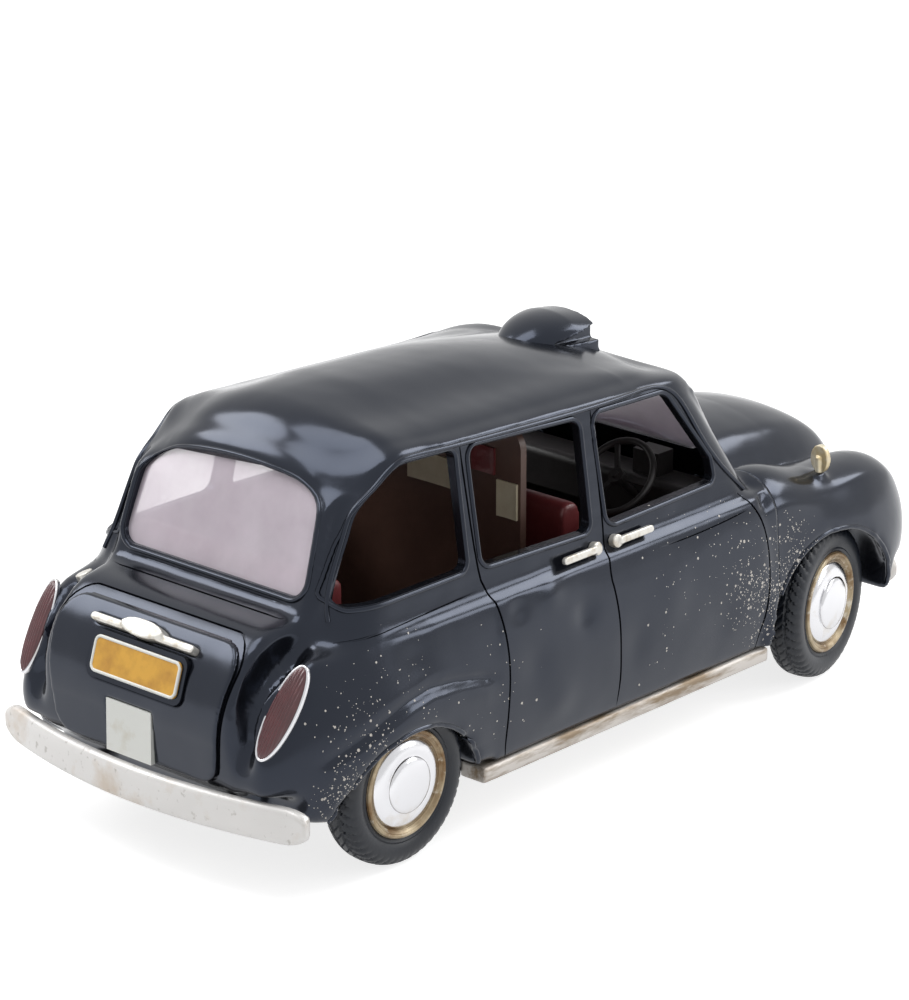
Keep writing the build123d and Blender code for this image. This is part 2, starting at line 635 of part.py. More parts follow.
def bumper(sign, floor_end, half, bow):
    """A bumper bowed outwards, with its ends turned in around the wings."""
    centre_x = sign * (BUMPER_X - BUMPER_T / 2)
    end_x = sign * (BUMPER_X - BUMPER_T / 2 - bow)
    path = ThreePointArc((end_x, -half, BUMPER_Z), (centre_x, 0, BUMPER_Z), (end_x, half, BUMPER_Z))
    start = Plane(origin=path @ 0, z_dir=path % 0, x_dir=(0, 0, 1))
    section = start * RectangleRounded(BUMPER_H, BUMPER_T, BUMPER_T / 2 - 0.1)
    blade = sweep(section, path=path)
    for y in (-IRON_Y, IRON_Y):
        x0, x1 = sorted((floor_end, floor_end + sign * IRON_KNEE))
        blade += box(x0, x1, y - 3, y + 3, SILL_Z - IRON_T, SILL_Z)
        x0, x1 = sorted((floor_end + sign * (IRON_KNEE - IRON_T), floor_end + sign * IRON_KNEE))
        blade += box(x0, x1, y - 3, y + 3, SILL_Z - IRON_T, BUMPER_Z + 2)
        x0, x1 = sorted((floor_end + sign * (IRON_KNEE - IRON_T), centre_x - sign * 2))
        blade += box(x0, x1, y - 3, y + 3, BUMPER_Z + 2 - IRON_T, BUMPER_Z + 2)
    return blade


add("front_bumper", bumper(1, FLOOR_FRONT, FRONT_BUMPER_HALF, FRONT_BUMPER_BOW))
add("rear_bumper", bumper(-1, FLOOR_BACK, BUMPER_HALF, BUMPER_BOW))

# Grille and headlamps
GRILLE_T = 3.0
GRILLE = [(-24, BUMPER_TOP), (24, BUMPER_TOP), (24, BONNET_Z - 0.5), (-24, BONNET_Z - 0.5)]
grille = rounded_prism_x(GRILLE, [6] * 4, NOSE_X, NOSE_X + GRILLE_T)
inner = [(y * 0.88, between(z, BUMPER_TOP, BUMPER_TOP + 2.5, BONNET_Z, BONNET_Z - 3)) for y, z in GRILLE]
grille -= rounded_prism_x(inner, [4] * 4, NOSE_X + 1, NOSE_X + 2 * GRILLE_T)
for i in range(-5, 6):
    grille += box(NOSE_X, NOSE_X + GRILLE_T - 0.4, i * 3.5 - 0.6, i * 3.5 + 0.6, BUMPER_TOP + 1.5, BONNET_Z - 2)
add("grille", grille)

LAMP_R = 10.0
LAMP_X, LAMP_Y, LAMP_Z = 174.0, 49.0, 53.0
LAMP_DEEP = 12.0


def turned_x(points):
    """Turns a closed (x, radius) outline about the headlamp's axis."""
    face = make_face(Polyline(*[(x, 0, r) for x, r in points], close=True))
    return Pos(LAMP_X, LAMP_Y, LAMP_Z) * revolve(face, Axis.X, 360)


bezel = turned_x([(-LAMP_DEEP, 0), (-LAMP_DEEP, LAMP_R - 1), (0, LAMP_R), (1.5, LAMP_R - 0.6), (1.5, LAMP_R - 1.8),
                  (0, LAMP_R - 1.8), (0, 0)])
lamp_lens = turned_x([(0, 0), (0, LAMP_R - 1.8), (1.6, LAMP_R - 2.6), (3.0, LAMP_R - 5), (3.6, LAMP_R - 8), (3.6, 0)])
front_wing -= turned_x([(-LAMP_DEEP, 0), (-LAMP_DEEP, LAMP_R - 1), (0, LAMP_R), (FAR, LAMP_R), (FAR, 0)])
add_pair("headlamp_bezels", bezel)
add_pair("headlamp_lenses", lamp_lens)

# Wing mirrors
MIRROR_X, MIRROR_Y, MIRROR_Z = 119.5, 64.0, 86.0
mirror_stem = Pos(MIRROR_X, MIRROR_Y, MIRROR_Z - 4) * Cylinder(1.2, 12)
mirror_head = Pos(MIRROR_X, MIRROR_Y, MIRROR_Z + 1) * Rot(0, 90, 0) * extrude(Ellipse(5.5, 4.0), amount=2.4)
front_wing -= Pos(MIRROR_X, MIRROR_Y, MIRROR_Z - 4) * Cylinder(1.2, 12)
add_pair("wing_mirrors", mirror_stem + mirror_head)
both_sides("front_wing", front_wing)

# Tail lamps, let into the ends of the rear wings
TAIL_LAMP_TOP = Vector(-155.0, 61.0, 82.0)
TAIL_LAMP_FOOT = Vector(-173.3, 58.3, 54.0)
TAIL_LAMP_OUT = Vector(-0.75, 0.5, 0.45)
TAIL_LAMP_HALF_W = 6.2
TAIL_LAMP_PROUD = 1.0
TAIL_LAMP_RIM = 0.9
lamp_run = TAIL_LAMP_FOOT - TAIL_LAMP_TOP
lamp_half = lamp_run.length / 2 + 1.0
lamp_plane = Plane(origin=(TAIL_LAMP_TOP + TAIL_LAMP_FOOT) * 0.5, x_dir=lamp_run, z_dir=TAIL_LAMP_OUT)
lamp_seat = lamp_plane * Pos(0, 0, -7) * extrude(Ellipse(lamp_half, TAIL_LAMP_HALF_W), amount=30)
rear_wing -= lamp_seat
lamp_face = Ellipse(lamp_half - TAIL_LAMP_RIM, TAIL_LAMP_HALF_W - TAIL_LAMP_RIM)
tail_rim = lamp_plane * Pos(0, 0, -7) * extrude(Ellipse(lamp_half, TAIL_LAMP_HALF_W), amount=7 + TAIL_LAMP_PROUD)
tail_rim -= lamp_plane * extrude(lamp_face, amount=5)
tail_lens = lamp_plane * extrude(lamp_face, amount=TAIL_LAMP_PROUD + 1.2)
tail_lens = fillet(tail_lens.edges().sort_by_distance(lamp_plane.origin + TAIL_LAMP_OUT * 400)[0], 1.0)
add_pair("tail_lamp_rims", tail_rim)
add_pair("tail_lamp_lenses", tail_lens)

# Filler cap on the left rear wing
CAP_PLANE = Plane(origin=(-146.5, 54.5, 82.0), x_dir=(1, 0, 0.2), z_dir=(-0.2, 0.4, 1.0))
FILLER_R = 3.2
rear_left = rear_wing - CAP_PLANE * Cylinder(FILLER_R, 2)
add("filler_cap", CAP_PLANE * Pos(0, 0, 1) * Cylinder(FILLER_R, 4))
add("rear_wing_left", rear_left - CAP_PLANE * Pos(0, 0, 1) * Cylinder(FILLER_R, 4))
add("rear_wing_right", mirror(rear_wing, Plane.XZ))

# Plates and handle on the boot lid
PLATE_PLANE = Plane(origin=(-175.0, -1.5, 72.5), x_dir=(0, -1, 0), z_dir=(-0.95, 0, 0.31))
PLATE = (46.0, 17.0)
PLATE_SUNK = 2.0
PLATE_T = 0.8
plate_frame = PLATE_PLANE * Pos(0, 0, -PLATE_SUNK) * extrude(RectangleRounded(*PLATE, 3.5), amount=PLATE_SUNK + 1)
plate = PLATE_PLANE * Pos(0, 0, 1) * extrude(RectangleRounded(PLATE[0] - 4, PLATE[1] - 4, 2.5), amount=PLATE_T)
LICENCE_PLANE = Plane(origin=(-177.2, 1, 49.0), x_dir=(0, -1, 0), z_dir=(-1, 0, 0.02))
LICENCE = (22.0, 19.0)
licence = LICENCE_PLANE * Pos(0, 0, -1) * extrude(Rectangle(*LICENCE), amount=2.0)
HANDLE_PLANE = Plane(origin=(-170.0, 0, 82.5), x_dir=(0, -1, 0), z_dir=(-0.78, 0, 0.63))
HANDLE_L = 50.0
handle = HANDLE_PLANE * Pos(0, 0, -2) * extrude(SlotOverall(HANDLE_L, 2.9), amount=4.6)
handle += HANDLE_PLANE * Pos(0, 1, -2) * extrude(Ellipse(10, 3.2), amount=5.6)
lid -= plate_frame + licence + handle
add("tail_body", tail - plate_frame - licence - handle)
add("boot_lid", lid)
add("plate_frame", plate_frame)
add("number_plate", plate)
add("licence_plate", licence)
add("boot_handle", handle)

# Door handles: a round boss and a lever, on the side's plane
HANDLE_Z = BELT_Z + 3.2
LEVER = 19.0
lean = atan2(CABIN_Y_BELT - CABIN_Y_GUTTER, GUTTER_Z - BELT_Z)
handles = []
for x, way in ((DOOR_MID_X - 7, -1), (DOOR_MID_X + 4, 1)):
    plane = Plane(origin=(x, cabin_half_width(HANDLE_Z), HANDLE_Z), x_dir=(1, 0, 0), z_dir=(0, cos(lean), sin(lean)))
    piece = plane * Pos(0, 0, 1.5) * Cylinder(2.5, 3)
    handles.append(piece + plane * Pos(way * LEVER / 2, 0, 2) * extrude(SlotOverall(LEVER, 2.7), amount=1.9))
add_pair("door_handles", handles[0] + handles[1])

# Roof sign: a wedge with a hooded, recessed front, standing on the dome
SIGN_X0, SIGN_X1 = 13.0, 47.0
SIGN_H = 16.0
SIGN_HALF = 17.0
SIGN_RECESS_Z = GUTTER_Z + 5.5
SIGN_Z = GUTTER_Z + SIGN_H
sign_side = [(SIGN_X0, GUTTER_Z - 10), (SIGN_X1 - 4, GUTTER_Z - 10), (SIGN_X1, SIGN_Z - 6), (SIGN_X1 - 2, SIGN_Z - 2.5),
             (SIGN_X0 + 22, SIGN_Z), (SIGN_X0 + 12, SIGN_Z - 1.2), (SIGN_X0 + 4, SIGN_Z - 4)]
sign_plan = [(SIGN_X0, -4), (SIGN_X0 + 4, -9), (SIGN_X0 + 13, -14), (SIGN_X1, -SIGN_HALF), (SIGN_X1, SIGN_HALF),
             (SIGN_X0 + 13, 14), (SIGN_X0 + 4, 9), (SIGN_X0, 4)]
plan_face = make_face(Polyline(*[(x, y, 0) for x, y in sign_plan], close=True))
sign = prism_y(sign_side, -FAR, FAR) & extrude(plan_face, amount=FAR, dir=(0, 0, 1))
recess_half = SIGN_HALF - 3.5
sign -= box(SIGN_X1 - 7, FAR, -recess_half, recess_half, SIGN_RECESS_Z, SIGN_Z - 3)
panel = box(SIGN_X1 - 7, SIGN_X1 - 5.5, 0.1 - recess_half, recess_half - 0.1, SIGN_RECESS_Z + 0.1, SIGN_Z - 3.1)
add("sign_panel", panel - roof_dome(0) - roof_edge)
add("roof_sign", (sign & above_gutter()) - roof_dome(0) - roof_edge)

# Cabin fittings
BENCH_BACK_X = TAIL_X
bench_seat = box(BENCH_BACK_X, BENCH_BACK_X + 40, -REAR_IN_Y, REAR_IN_Y, 36, 58)
bench_back = box(BENCH_BACK_X, BENCH_BACK_X + 10, -REAR_IN_Y, REAR_IN_Y, 58, 102)
add("rear_bench_seat", fillet(bench_seat.edges().filter_by(Axis.Y).group_by(Axis.X)[-1], 5))
add("rear_bench_back", fillet(bench_back.edges().filter_by(Axis.Y).group_by(Axis.Z)[-1], 4))

SEAT_Y = -30.0
seat = box(0, 36, SEAT_Y - 18, SEAT_Y + 18, SILL_Z, 54) + box(-10, 0, SEAT_Y - 18, SEAT_Y + 18, SILL_Z, 98)
add("driver_seat", fillet(seat.edges().filter_by(Axis.Y).group_by(Axis.Z)[-1], 4))

PARTITION_X = -30.0
PARTITION_T = 3.0
PARTITION_HALF = 46.0
PARTITION_TOP = 131.0
partition = [(-PARTITION_HALF, SILL_Z), (PARTITION_HALF, SILL_Z), (PARTITION_HALF, PARTITION_TOP),
             (-PARTITION_HALF, PARTITION_TOP)]
add("partition", rounded_prism_x(partition, [1, 1, 8, 8], PARTITION_X, PARTITION_X + PARTITION_T))

DASH_X = 66.0
DASH_HALF = 58.0
DASH_Z = 89.0
dash = box(DASH_X, DASH_X + 5, -DASH_HALF, DASH_HALF, SILL_Z, DASH_Z)
dash += box(DASH_X - 12, DASH_X, -DASH_HALF, DASH_HALF, DASH_Z - 15, DASH_Z)
add("dashboard", fillet(dash.edges().filter_by(Axis.Y).group_by(Axis.Z)[-1], 3))
add("meter_box", box(DASH_X - 8, DASH_X + 1, SEAT_Y - 6, SEAT_Y + 6, DASH_Z, DASH_Z + 9))

WHEEL_AT = Vector(42, SEAT_Y, 92)
COLUMN_AT = Vector(DASH_X - 12, SEAT_Y, 81)
COLUMN_R = 1.5
HAND_WHEEL_R = 15.0
column_way = WHEEL_AT - COLUMN_AT
hand_plane = Plane(origin=WHEEL_AT, z_dir=column_way)
hand = hand_plane * Torus(HAND_WHEEL_R, 1.3)
for turn in (90, 210, 330):
    hand += hand_plane * Rot(0, 0, turn) * Pos(HAND_WHEEL_R / 2, 0, 0) * Box(HAND_WHEEL_R, 1.8, 1.4)
hand += hand_plane * Cylinder(3, 3)
column_plane = Plane(origin=COLUMN_AT, z_dir=column_way)
hand += column_plane * Pos(0, 0, column_way.length / 2) * Cylinder(COLUMN_R, column_way.length + 6)
add("steering_wheel", hand - NODES["dashboard"])

for name, shape in NODES.items():
    export_step(shape, f"parts/{name}.step")
    print(name, "solids", len(shape.solids()), "volume", round(shape.volume))
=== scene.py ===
"""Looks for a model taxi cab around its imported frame: painted body, glass, cabin, wheels and stage."""

import json
from math import cos, pi, radians, sin, tan

import bpy
import numpy as np
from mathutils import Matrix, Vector


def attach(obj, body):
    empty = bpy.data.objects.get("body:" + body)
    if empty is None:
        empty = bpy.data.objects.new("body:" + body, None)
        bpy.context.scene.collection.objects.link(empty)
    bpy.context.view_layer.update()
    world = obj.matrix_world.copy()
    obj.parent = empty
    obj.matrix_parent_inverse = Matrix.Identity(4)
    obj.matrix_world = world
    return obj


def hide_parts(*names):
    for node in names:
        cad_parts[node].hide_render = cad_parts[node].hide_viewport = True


bl_info = {
    "name": "Model taxi cab",
    "version": (1, 0, 0),
    "blender": (4, 5, 0),
    "location": "3D View > Sidebar > Taxi",
    "description": "Dresses the packed frame of a model taxi cab",
    "category": "Object",
}

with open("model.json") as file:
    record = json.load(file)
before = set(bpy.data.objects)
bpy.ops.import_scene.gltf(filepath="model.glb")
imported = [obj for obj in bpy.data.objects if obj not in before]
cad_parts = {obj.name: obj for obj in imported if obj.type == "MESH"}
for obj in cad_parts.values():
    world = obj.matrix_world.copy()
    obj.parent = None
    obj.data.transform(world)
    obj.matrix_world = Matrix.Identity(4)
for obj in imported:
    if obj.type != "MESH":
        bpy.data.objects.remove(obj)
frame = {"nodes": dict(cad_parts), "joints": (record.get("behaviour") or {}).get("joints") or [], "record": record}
NODES = frame["nodes"]
JOINTS = {joint["name"]: joint for joint in frame["joints"]}
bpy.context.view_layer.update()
MM = 0.001
SIDES = (1, -1)
WHEELS = ("front_left", "front_right", "rear_left", "rear_right")


# Settings that a user would change


class StageSettings(bpy.types.PropertyGroup):
    """Camera, floor and light."""

    camera_at: bpy.props.FloatVectorProperty(
        name="Camera", description="Where the camera stands", size=3, subtype="TRANSLATION",
        default=(-1.0816, -0.9752, 0.5997),
    )
    camera_turn: bpy.props.FloatProperty(
        name="Turn", description="Camera's heading from +X", subtype="ANGLE", default=radians(42.42)
    )
    camera_dip: bpy.props.FloatProperty(
        name="Dip", description="How far the camera looks down", subtype="ANGLE", default=radians(19.41)
    )
    lens: bpy.props.FloatProperty(
        name="Lens", description="Focal length over a 24 mm high frame", subtype="DISTANCE_CAMERA",
        default=100.8,
    )
    floor_colour: bpy.props.FloatVectorProperty(
        name="Floor", description="Floor colour", size=3, subtype="COLOR", default=(0.62, 0.62, 0.62)
    )
    floor_glow: bpy.props.FloatProperty(
        name="Floor glow", description="What the camera sees added to the floor", min=0, default=0.78
    )
    world_light: bpy.props.FloatProperty(
        name="Sky", description="Strength of the light from all round", min=0, default=0.45
    )


class BodySettings(bpy.types.PropertyGroup):
    """How the cast body is softened, cut and trimmed."""

    grain: bpy.props.FloatProperty(
        name="Grain", description="Size of the body's faces", subtype="DISTANCE", default=1.3 * MM
    )
    groove_width: bpy.props.FloatProperty(
        name="Groove width", description="Width of a shut line", subtype="DISTANCE", default=0.9 * MM
    )
    groove_depth: bpy.props.FloatProperty(
        name="Groove depth", description="Depth of a shut line", subtype="DISTANCE", default=0.9 * MM
    )
    bead_width: bpy.props.FloatProperty(
        name="Bead width", description="Width of the windows' rounded frames", subtype="DISTANCE",
        default=1.9 * MM,
    )
    lip_width: bpy.props.FloatProperty(
        name="Lip width", description="Width of the wheel arches' rolled lips", subtype="DISTANCE",
        default=2.0 * MM,
    )


class WheelSettings(bpy.types.PropertyGroup):
    """Tyre size and tread."""

    tyre_radius: bpy.props.FloatProperty(
        name="Tyre radius", description="To the top of the tread", subtype="DISTANCE", default=30.0 * MM
    )
    tyre_width: bpy.props.FloatProperty(
        name="Tyre width", description="Across the sidewalls", subtype="DISTANCE", default=14.0 * MM
    )
    rim_radius: bpy.props.FloatProperty(
        name="Rim radius", description="Where the tyre meets the rim", subtype="DISTANCE", default=19.6 * MM
    )
    tread_depth: bpy.props.FloatProperty(
        name="Tread depth", description="Depth of the tread's grooves", subtype="DISTANCE", default=0.7 * MM
    )


# Small tools for picking, copying and finishing pieces

MERGE = 1e-6
ARC_STEPS = 8
# Millimetres between the points of a groove and of a bead, and points over which a groove's end fades out
GROOVE_STEP = 1.2
BEAD_STEP = 1.4
FADE_POINTS = 7


def deselect():
    active = bpy.context.view_layer.objects.active
    if active and active.mode != "OBJECT":
        bpy.ops.object.mode_set(mode="OBJECT")
    bpy.ops.object.select_all(action="DESELECT")


def activate(piece):
    deselect()
    piece.select_set(True)
    bpy.context.view_layer.objects.active = piece


def joined(name, pieces):
    """Joins pieces into one."""
    deselect()
    for piece in pieces:
        piece.select_set(True)
    bpy.context.view_layer.objects.active = pieces[-1]
    if len(pieces) > 1:
        bpy.ops.object.join()
    piece = bpy.context.view_layer.objects.active
    piece.name = name
    piece.data.name = name
    return piece


def cast_copy(name, nodes, fillers=()):
    """Joins copies of CAD nodes, and fillers between them, into one new piece with its doubles merged."""
    copies = list(fillers)
    for node in nodes:
        copy = bpy.data.objects.new(node + "_copy", NODES[node].data.copy())
        bpy.context.scene.collection.objects.link(copy)
        copies.append(copy)
    piece = joined(name, copies)
    piece.data.materials.clear()
    bpy.ops.object.mode_set(mode="EDIT")
    bpy.ops.mesh.select_all(action="SELECT")
    bpy.ops.mesh.remove_doubles(threshold=MERGE)
    bpy.ops.object.mode_set(mode="OBJECT")
    return piece


def modify(piece, kind, **values):
    activate(piece)
    bpy.ops.object.modifier_add(type=kind)
    modifier = piece.modifiers[-1]
    for key, value in values.items():
        setattr(modifier, key, value)
    bpy.ops.object.modifier_apply(modifier=modifier.name)


def melt(piece, grain, passes):
    """Recasts a piece as one soft skin: even faces, then smoothing passes."""
    modify(piece, "REMESH", mode="VOXEL", voxel_size=grain, use_smooth_shade=True)
    modify(piece, "SMOOTH", factor=0.5, iterations=passes)


def soften(piece, place, passes, pick):
    """Smooths a named place: only the points that pick chooses."""
    group = piece.vertex_groups.new(name=place)
    chosen = [v.index for v in piece.data.vertices if pick(v.co.x / MM, v.co.y / MM, v.co.z / MM)]
    group.add(chosen, 1.0, "REPLACE")
    modify(piece, "SMOOTH", factor=0.5, iterations=passes, vertex_group=place)
    piece.vertex_groups.clear()


def points_of(piece):
    flat = np.zeros(len(piece.data.vertices) * 3, np.float32)
    piece.data.vertices.foreach_get("co", flat)
    return flat.reshape(-1, 3).astype(float) / MM


def normals_of(piece):
    flat = np.zeros(len(piece.data.vertices) * 3, np.float32)
    piece.data.vertex_normals.foreach_get("vector", flat)
    return flat.reshape(-1, 3).astype(float)


def set_points(piece, points):
    piece.data.vertices.foreach_set("co", (points * MM).astype(np.float32).ravel())
    piece.data.update()


def smooth_shade(piece, degrees=40):
    activate(piece)
    bpy.ops.object.shade_smooth_by_angle(angle=radians(degrees))


def keep(piece, body, slot, finish, *nodes):
    """Paints a finished piece, hangs it on its body and lets it stand for its nodes."""
    piece.data.materials.clear()
    piece.data.materials.append(finish)
    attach(piece, body)
    if nodes:
        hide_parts(*nodes)
    return piece


def mesh_piece(name, points, faces):
    """A new closed piece from points in millimetres, with its faces turned outwards."""
    mesh = bpy.data.meshes.new(name)
    mesh.from_pydata([Vector(p) * MM for p in points], [], faces)
    mesh.update()
    piece = bpy.data.objects.new(name, mesh)
    bpy.context.scene.collection.objects.link(piece)
    activate(piece)
    bpy.ops.object.mode_set(mode="EDIT")
    bpy.ops.mesh.select_all(action="SELECT")
    bpy.ops.mesh.remove_doubles(threshold=MERGE)
    bpy.ops.mesh.normals_make_consistent(inside=False)
    bpy.ops.object.mode_set(mode="OBJECT")
    return piece


def slab(name, top, bottom):
    """A closed sheet between two grids of points, each given as rows of equal length."""
    rows, columns = len(top), len(top[0])
    points = [p for grid in (top, bottom) for row in grid for p in row]
    under = rows * columns
    faces = []
    for j in range(rows - 1):
        for i in range(columns - 1):
            a = j * columns + i
            quad = (a, a + 1, a + columns + 1, a + columns)
            faces += [quad, tuple(under + k for k in reversed(quad))]
    rim = list(range(columns)) + [j * columns + columns - 1 for j in range(1, rows)]
    rim += [(rows - 1) * columns + i for i in range(columns - 2, -1, -1)]
    rim += [j * columns for j in range(rows - 2, 0, -1)]
    for a, b in zip(rim, rim[1:] + rim[:1]):
        faces.append((a, b, under + b, under + a))
    return mesh_piece(name, points, faces)


def block(x0, x1, y0, y1, z0, z1):
    """A plain block, for closing slits and for cutting."""
    top, bottom = ([[(x0, y, z), (x1, y, z)] for y in (y0, y1)] for z in (z1, z0))
    return slab("block", top, bottom)


def prism(name, low, high):
    """A closed piece between two outlines of as many points."""
    n = len(low)
    faces = [(i, (i + 1) % n, n + (i + 1) % n, n + i) for i in range(n)]
    faces += [tuple(range(n - 1, -1, -1)), tuple(range(n, 2 * n))]
    return mesh_piece(name, list(low) + list(high), faces)


def rounded(corners, radii):
    """An outline with each corner turned into a short arc."""
    found = []
    count = len(corners)
    for i, radius in enumerate(radii):
        here = Vector(corners[i])
        before = (Vector(corners[i - 1]) - here).normalized()
        after = (Vector(corners[(i + 1) % count]) - here).normalized()
        half = before.angle(after) / 2
        centre = here + (before + after).normalized() * (radius / sin(half))
        start = here + before * (radius / tan(half)) - centre
        end = here + after * (radius / tan(half)) - centre
        arc = [start.lerp(end, k / ARC_STEPS).normalized() * radius for k in range(ARC_STEPS + 1)]
        found += [tuple(centre + p) for p in arc]
    return found


def grown(corners, amount):
    """A convex outline with its edges moved outwards."""
    corners = [Vector(c) for c in corners]
    middle = sum(corners, Vector((0, 0))) / len(corners)
    edges = []
    for a, b in zip(corners, corners[1:] + corners[:1]):
        way = (b - a).normalized()
        out = Vector((way.y, -way.x))
        edges.append((a + out * (amount if out.dot(a - middle) > 0 else -amount), way))
    found = []
    for (a, u), (b, v) in zip(edges[-1:] + edges[:-1], edges):
        cross = u.x * v.y - u.y * v.x
        found.append(tuple(a + u * (((b - a).x * v.y - (b - a).y * v.x) / cross)))
    return found


def eased(route):
    """A route with its kinks cut twice."""
    for _ in range(2):
        points = [Vector(p) for p in route]
        cut = [points[0]]
        for a, b in zip(points, points[1:]):
            cut += [a.lerp(b, 0.25), a.lerp(b, 0.75)]
        route = cut + [points[-1]]
    return [tuple(p) for p in route]


def dense(route, step, closed=False):
    """Points along straight runs between a route's points, about a step apart."""
    ends = route + route[:1] if closed else route
    found = []
    for a, b in zip(ends, ends[1:]):
        a, b = Vector(a), Vector(b)
        count = max(1, int((b - a).length / step))
        found += [a.lerp(b, i / count) for i in range(count)]
    return found if closed else found + [Vector(ends[-1])]


def laid_on(piece, route, way, reach=60.0):
    """Drops a route's points onto a piece along a direction: places and normals in millimetres."""
    way = Vector(way).normalized()
    found = []
    for point in route:
        start = (Vector(point) - way * reach) * MM
        hit, place, normal, _ = piece.ray_cast(start, way, distance=2 * reach * MM)
        if hit:
            found.append((place / MM, normal))
    return found


def swept(name, laid, profile, closed=False):
    """Sweeps a profile of (sideways, outward) points along places and normals."""
    count = len(laid)
    points, faces = [], []
    for i, (place, normal) in enumerate(laid):
        before = laid[i - 1][0] if closed or i else place
        after = laid[(i + 1) % count][0] if closed or i < count - 1 else place
        side = (after - before).normalized().cross(normal).normalized()
        points += [place + side * a + normal * b for a, b in profile]
    n = len(profile)
    for i in range(count if closed else count - 1):
        for j in range(n):
            k, after = (j + 1) % n, (i + 1) % count * n
            faces.append((i * n + j, i * n + k, after + k, after + j))
    if not closed:
        faces.append(tuple(range(n - 1, -1, -1)))
        faces.append(tuple(range((count - 1) * n, count * n)))
    return mesh_piece(name, points, faces)


def lathe(name, section_at, axes, count=120):
    """Turns a closed section about a wheel's axis: section_at gives (radius, outward) points at a turn."""
    centre, forward, outward, up = axes
    points, faces = [], []
    for i in range(count):
        turn = 2 * pi * i / count
        section = section_at(turn)
        n = len(section)
        spoke = forward * cos(turn) + up * sin(turn)
        points += [centre + outward * y + spoke * r for r, y in section]
        for j in range(n):
            k, after = (j + 1) % n, (i + 1) % count * n
            faces.append((i * n + j, i * n + k, after + k, after + j))
    return mesh_piece(name, points, faces)


def carve(piece, cutters):
    """Takes closed cutters out of a piece."""
    for cutter in cutters:
        modify(piece, "BOOLEAN", operation="DIFFERENCE", solver="MANIFOLD", object=cutter)
        bpy.data.objects.remove(cutter)


def score(piece, routes, width, depth):
    """Cuts shut lines into a piece; each route is its points, the way to drop them, and whether it closes."""
    w, d = width / MM / 2, depth / MM
    profile = [(-w * 1.4, 1.5), (-w, 0), (-w * 0.45, -d), (w * 0.45, -d), (w, 0), (w * 1.4, 1.5)]
    bpy.context.view_layer.update()
    cutters = []
    for points, way, closed in routes:
        laid = laid_on(piece, dense(points, GROOVE_STEP, closed), way)
        if len(laid) > 2:
            if not closed:
                last = len(laid) - 1
                fade = [max(0, 1 - min(i, last - i) / FADE_POINTS) for i in range(last + 1)]
                laid = [(p + n * (d * share), n) for (p, n), share in zip(laid, fade)]
            cutters.append(swept("cutter", laid, profile, closed))
    carve(piece, cutters)


def half_round(width, height, sunk=0.5):
    """A bead's section: a low arch over a foot sunk in its bed."""
    arch = [(-width / 2 * cos(pi * k / 6), height * sin(pi * k / 6)) for k in range(7)]
    return [(-width / 2, -sunk)] + arch + [(width / 2, -sunk)]


def ramp(values, start, end):
    """0 before a start, 1 after an end, and an eased slope between."""
    share = np.clip((values - start) / (end - start), 0, 1)
    return share * share * (3 - 2 * share)


def bell(values, middle, spread):
    """1 at a middle, fading to nothing on both sides."""
    return np.exp(-(((values - middle) / spread) ** 2))


# Procedural finishes


class Finish:
    """A material being mixed: its nodes, its shader and the piece's own coordinates."""

    def __init__(self, name):
        self.material = bpy.data.materials.new(name)
        self.material.use_nodes = True
        self.nodes = self.material.node_tree.nodes
        self.links = self.material.node_tree.links
        self.shader = self.nodes["Principled BSDF"]
        self.place = self.nodes.new("ShaderNodeTexCoord").outputs["Object"]

    def set(self, **sockets):
        for key, value in sockets.items():
            socket = self.shader.inputs[key.replace("_", " ")]
            if isinstance(value, bpy.types.NodeSocket):
                self.links.new(value, socket)
            elif isinstance(value, tuple) and len(value) == 3 and socket.type == "RGBA":
                socket.default_value = (*value, 1)
            else:
                socket.default_value = value
        return self.material

    def node(self, kind, inputs=(), **values):
        made = self.nodes.new(kind)
        for key, value in values.items():
            setattr(made, key, value)
        for key, value in dict(inputs).items():
            if isinstance(value, bpy.types.NodeSocket):
                self.links.new(value, made.inputs[key])
            else:
                made.inputs[key].default_value = value
        return made

    def noise(self, scale, detail=4.0, rough=0.55, stretch=None):
        place = self.place
        if stretch:
            place = self.node("ShaderNodeMapping", {"Vector": place, "Scale": stretch}).outputs[0]
        inputs = {"Vector": place, "Scale": scale, "Detail": detail, "Roughness": rough}
        return self.node("ShaderNodeTexNoise", inputs).outputs["Fac"]

    def cells(self, scale):
        return self.node("ShaderNodeTexVoronoi", {"Vector": self.place, "Scale": scale}, feature="F1")

    def range(self, value, low, high, to_low=0.0, to_high=1.0):
        inputs = {"Value": value, "From Min": low, "From Max": high, "To Min": to_low, "To Max": to_high}
        return self.node("ShaderNodeMapRange", inputs).outputs["Result"]

    def math(self, operation, a, b=0.0):
        return self.node("ShaderNodeMath", {0: a, 1: b}, operation=operation).outputs[0]

    def mix(self, factor, a, b):
        colours = [(*c, 1) if isinstance(c, tuple) else c for c in (a, b)]
        made = self.node("ShaderNodeMix", {"Factor": factor}, data_type="RGBA")
        for socket, colour in zip((made.inputs[6], made.inputs[7]), colours):
            if isinstance(colour, bpy.types.NodeSocket):
                self.links.new(colour, socket)
            else:
                socket.default_value = colour
        return made.outputs[2]

    def bump(self, height, strength, distance):
        inputs = {"Height": height, "Strength": strength, "Distance": distance}
        return self.node("ShaderNodeBump", inputs).outputs["Normal"]

    def near(self, centre, radius):
        """1 at a place in millimetres, fading to 0 at a radius."""
        inputs = {0: self.place, 1: Vector(centre) * MM}
        far = self.node("ShaderNodeVectorMath", inputs, operation="DISTANCE").outputs["Value"]
        return self.range(far, radius * MM, radius * MM * 0.2)


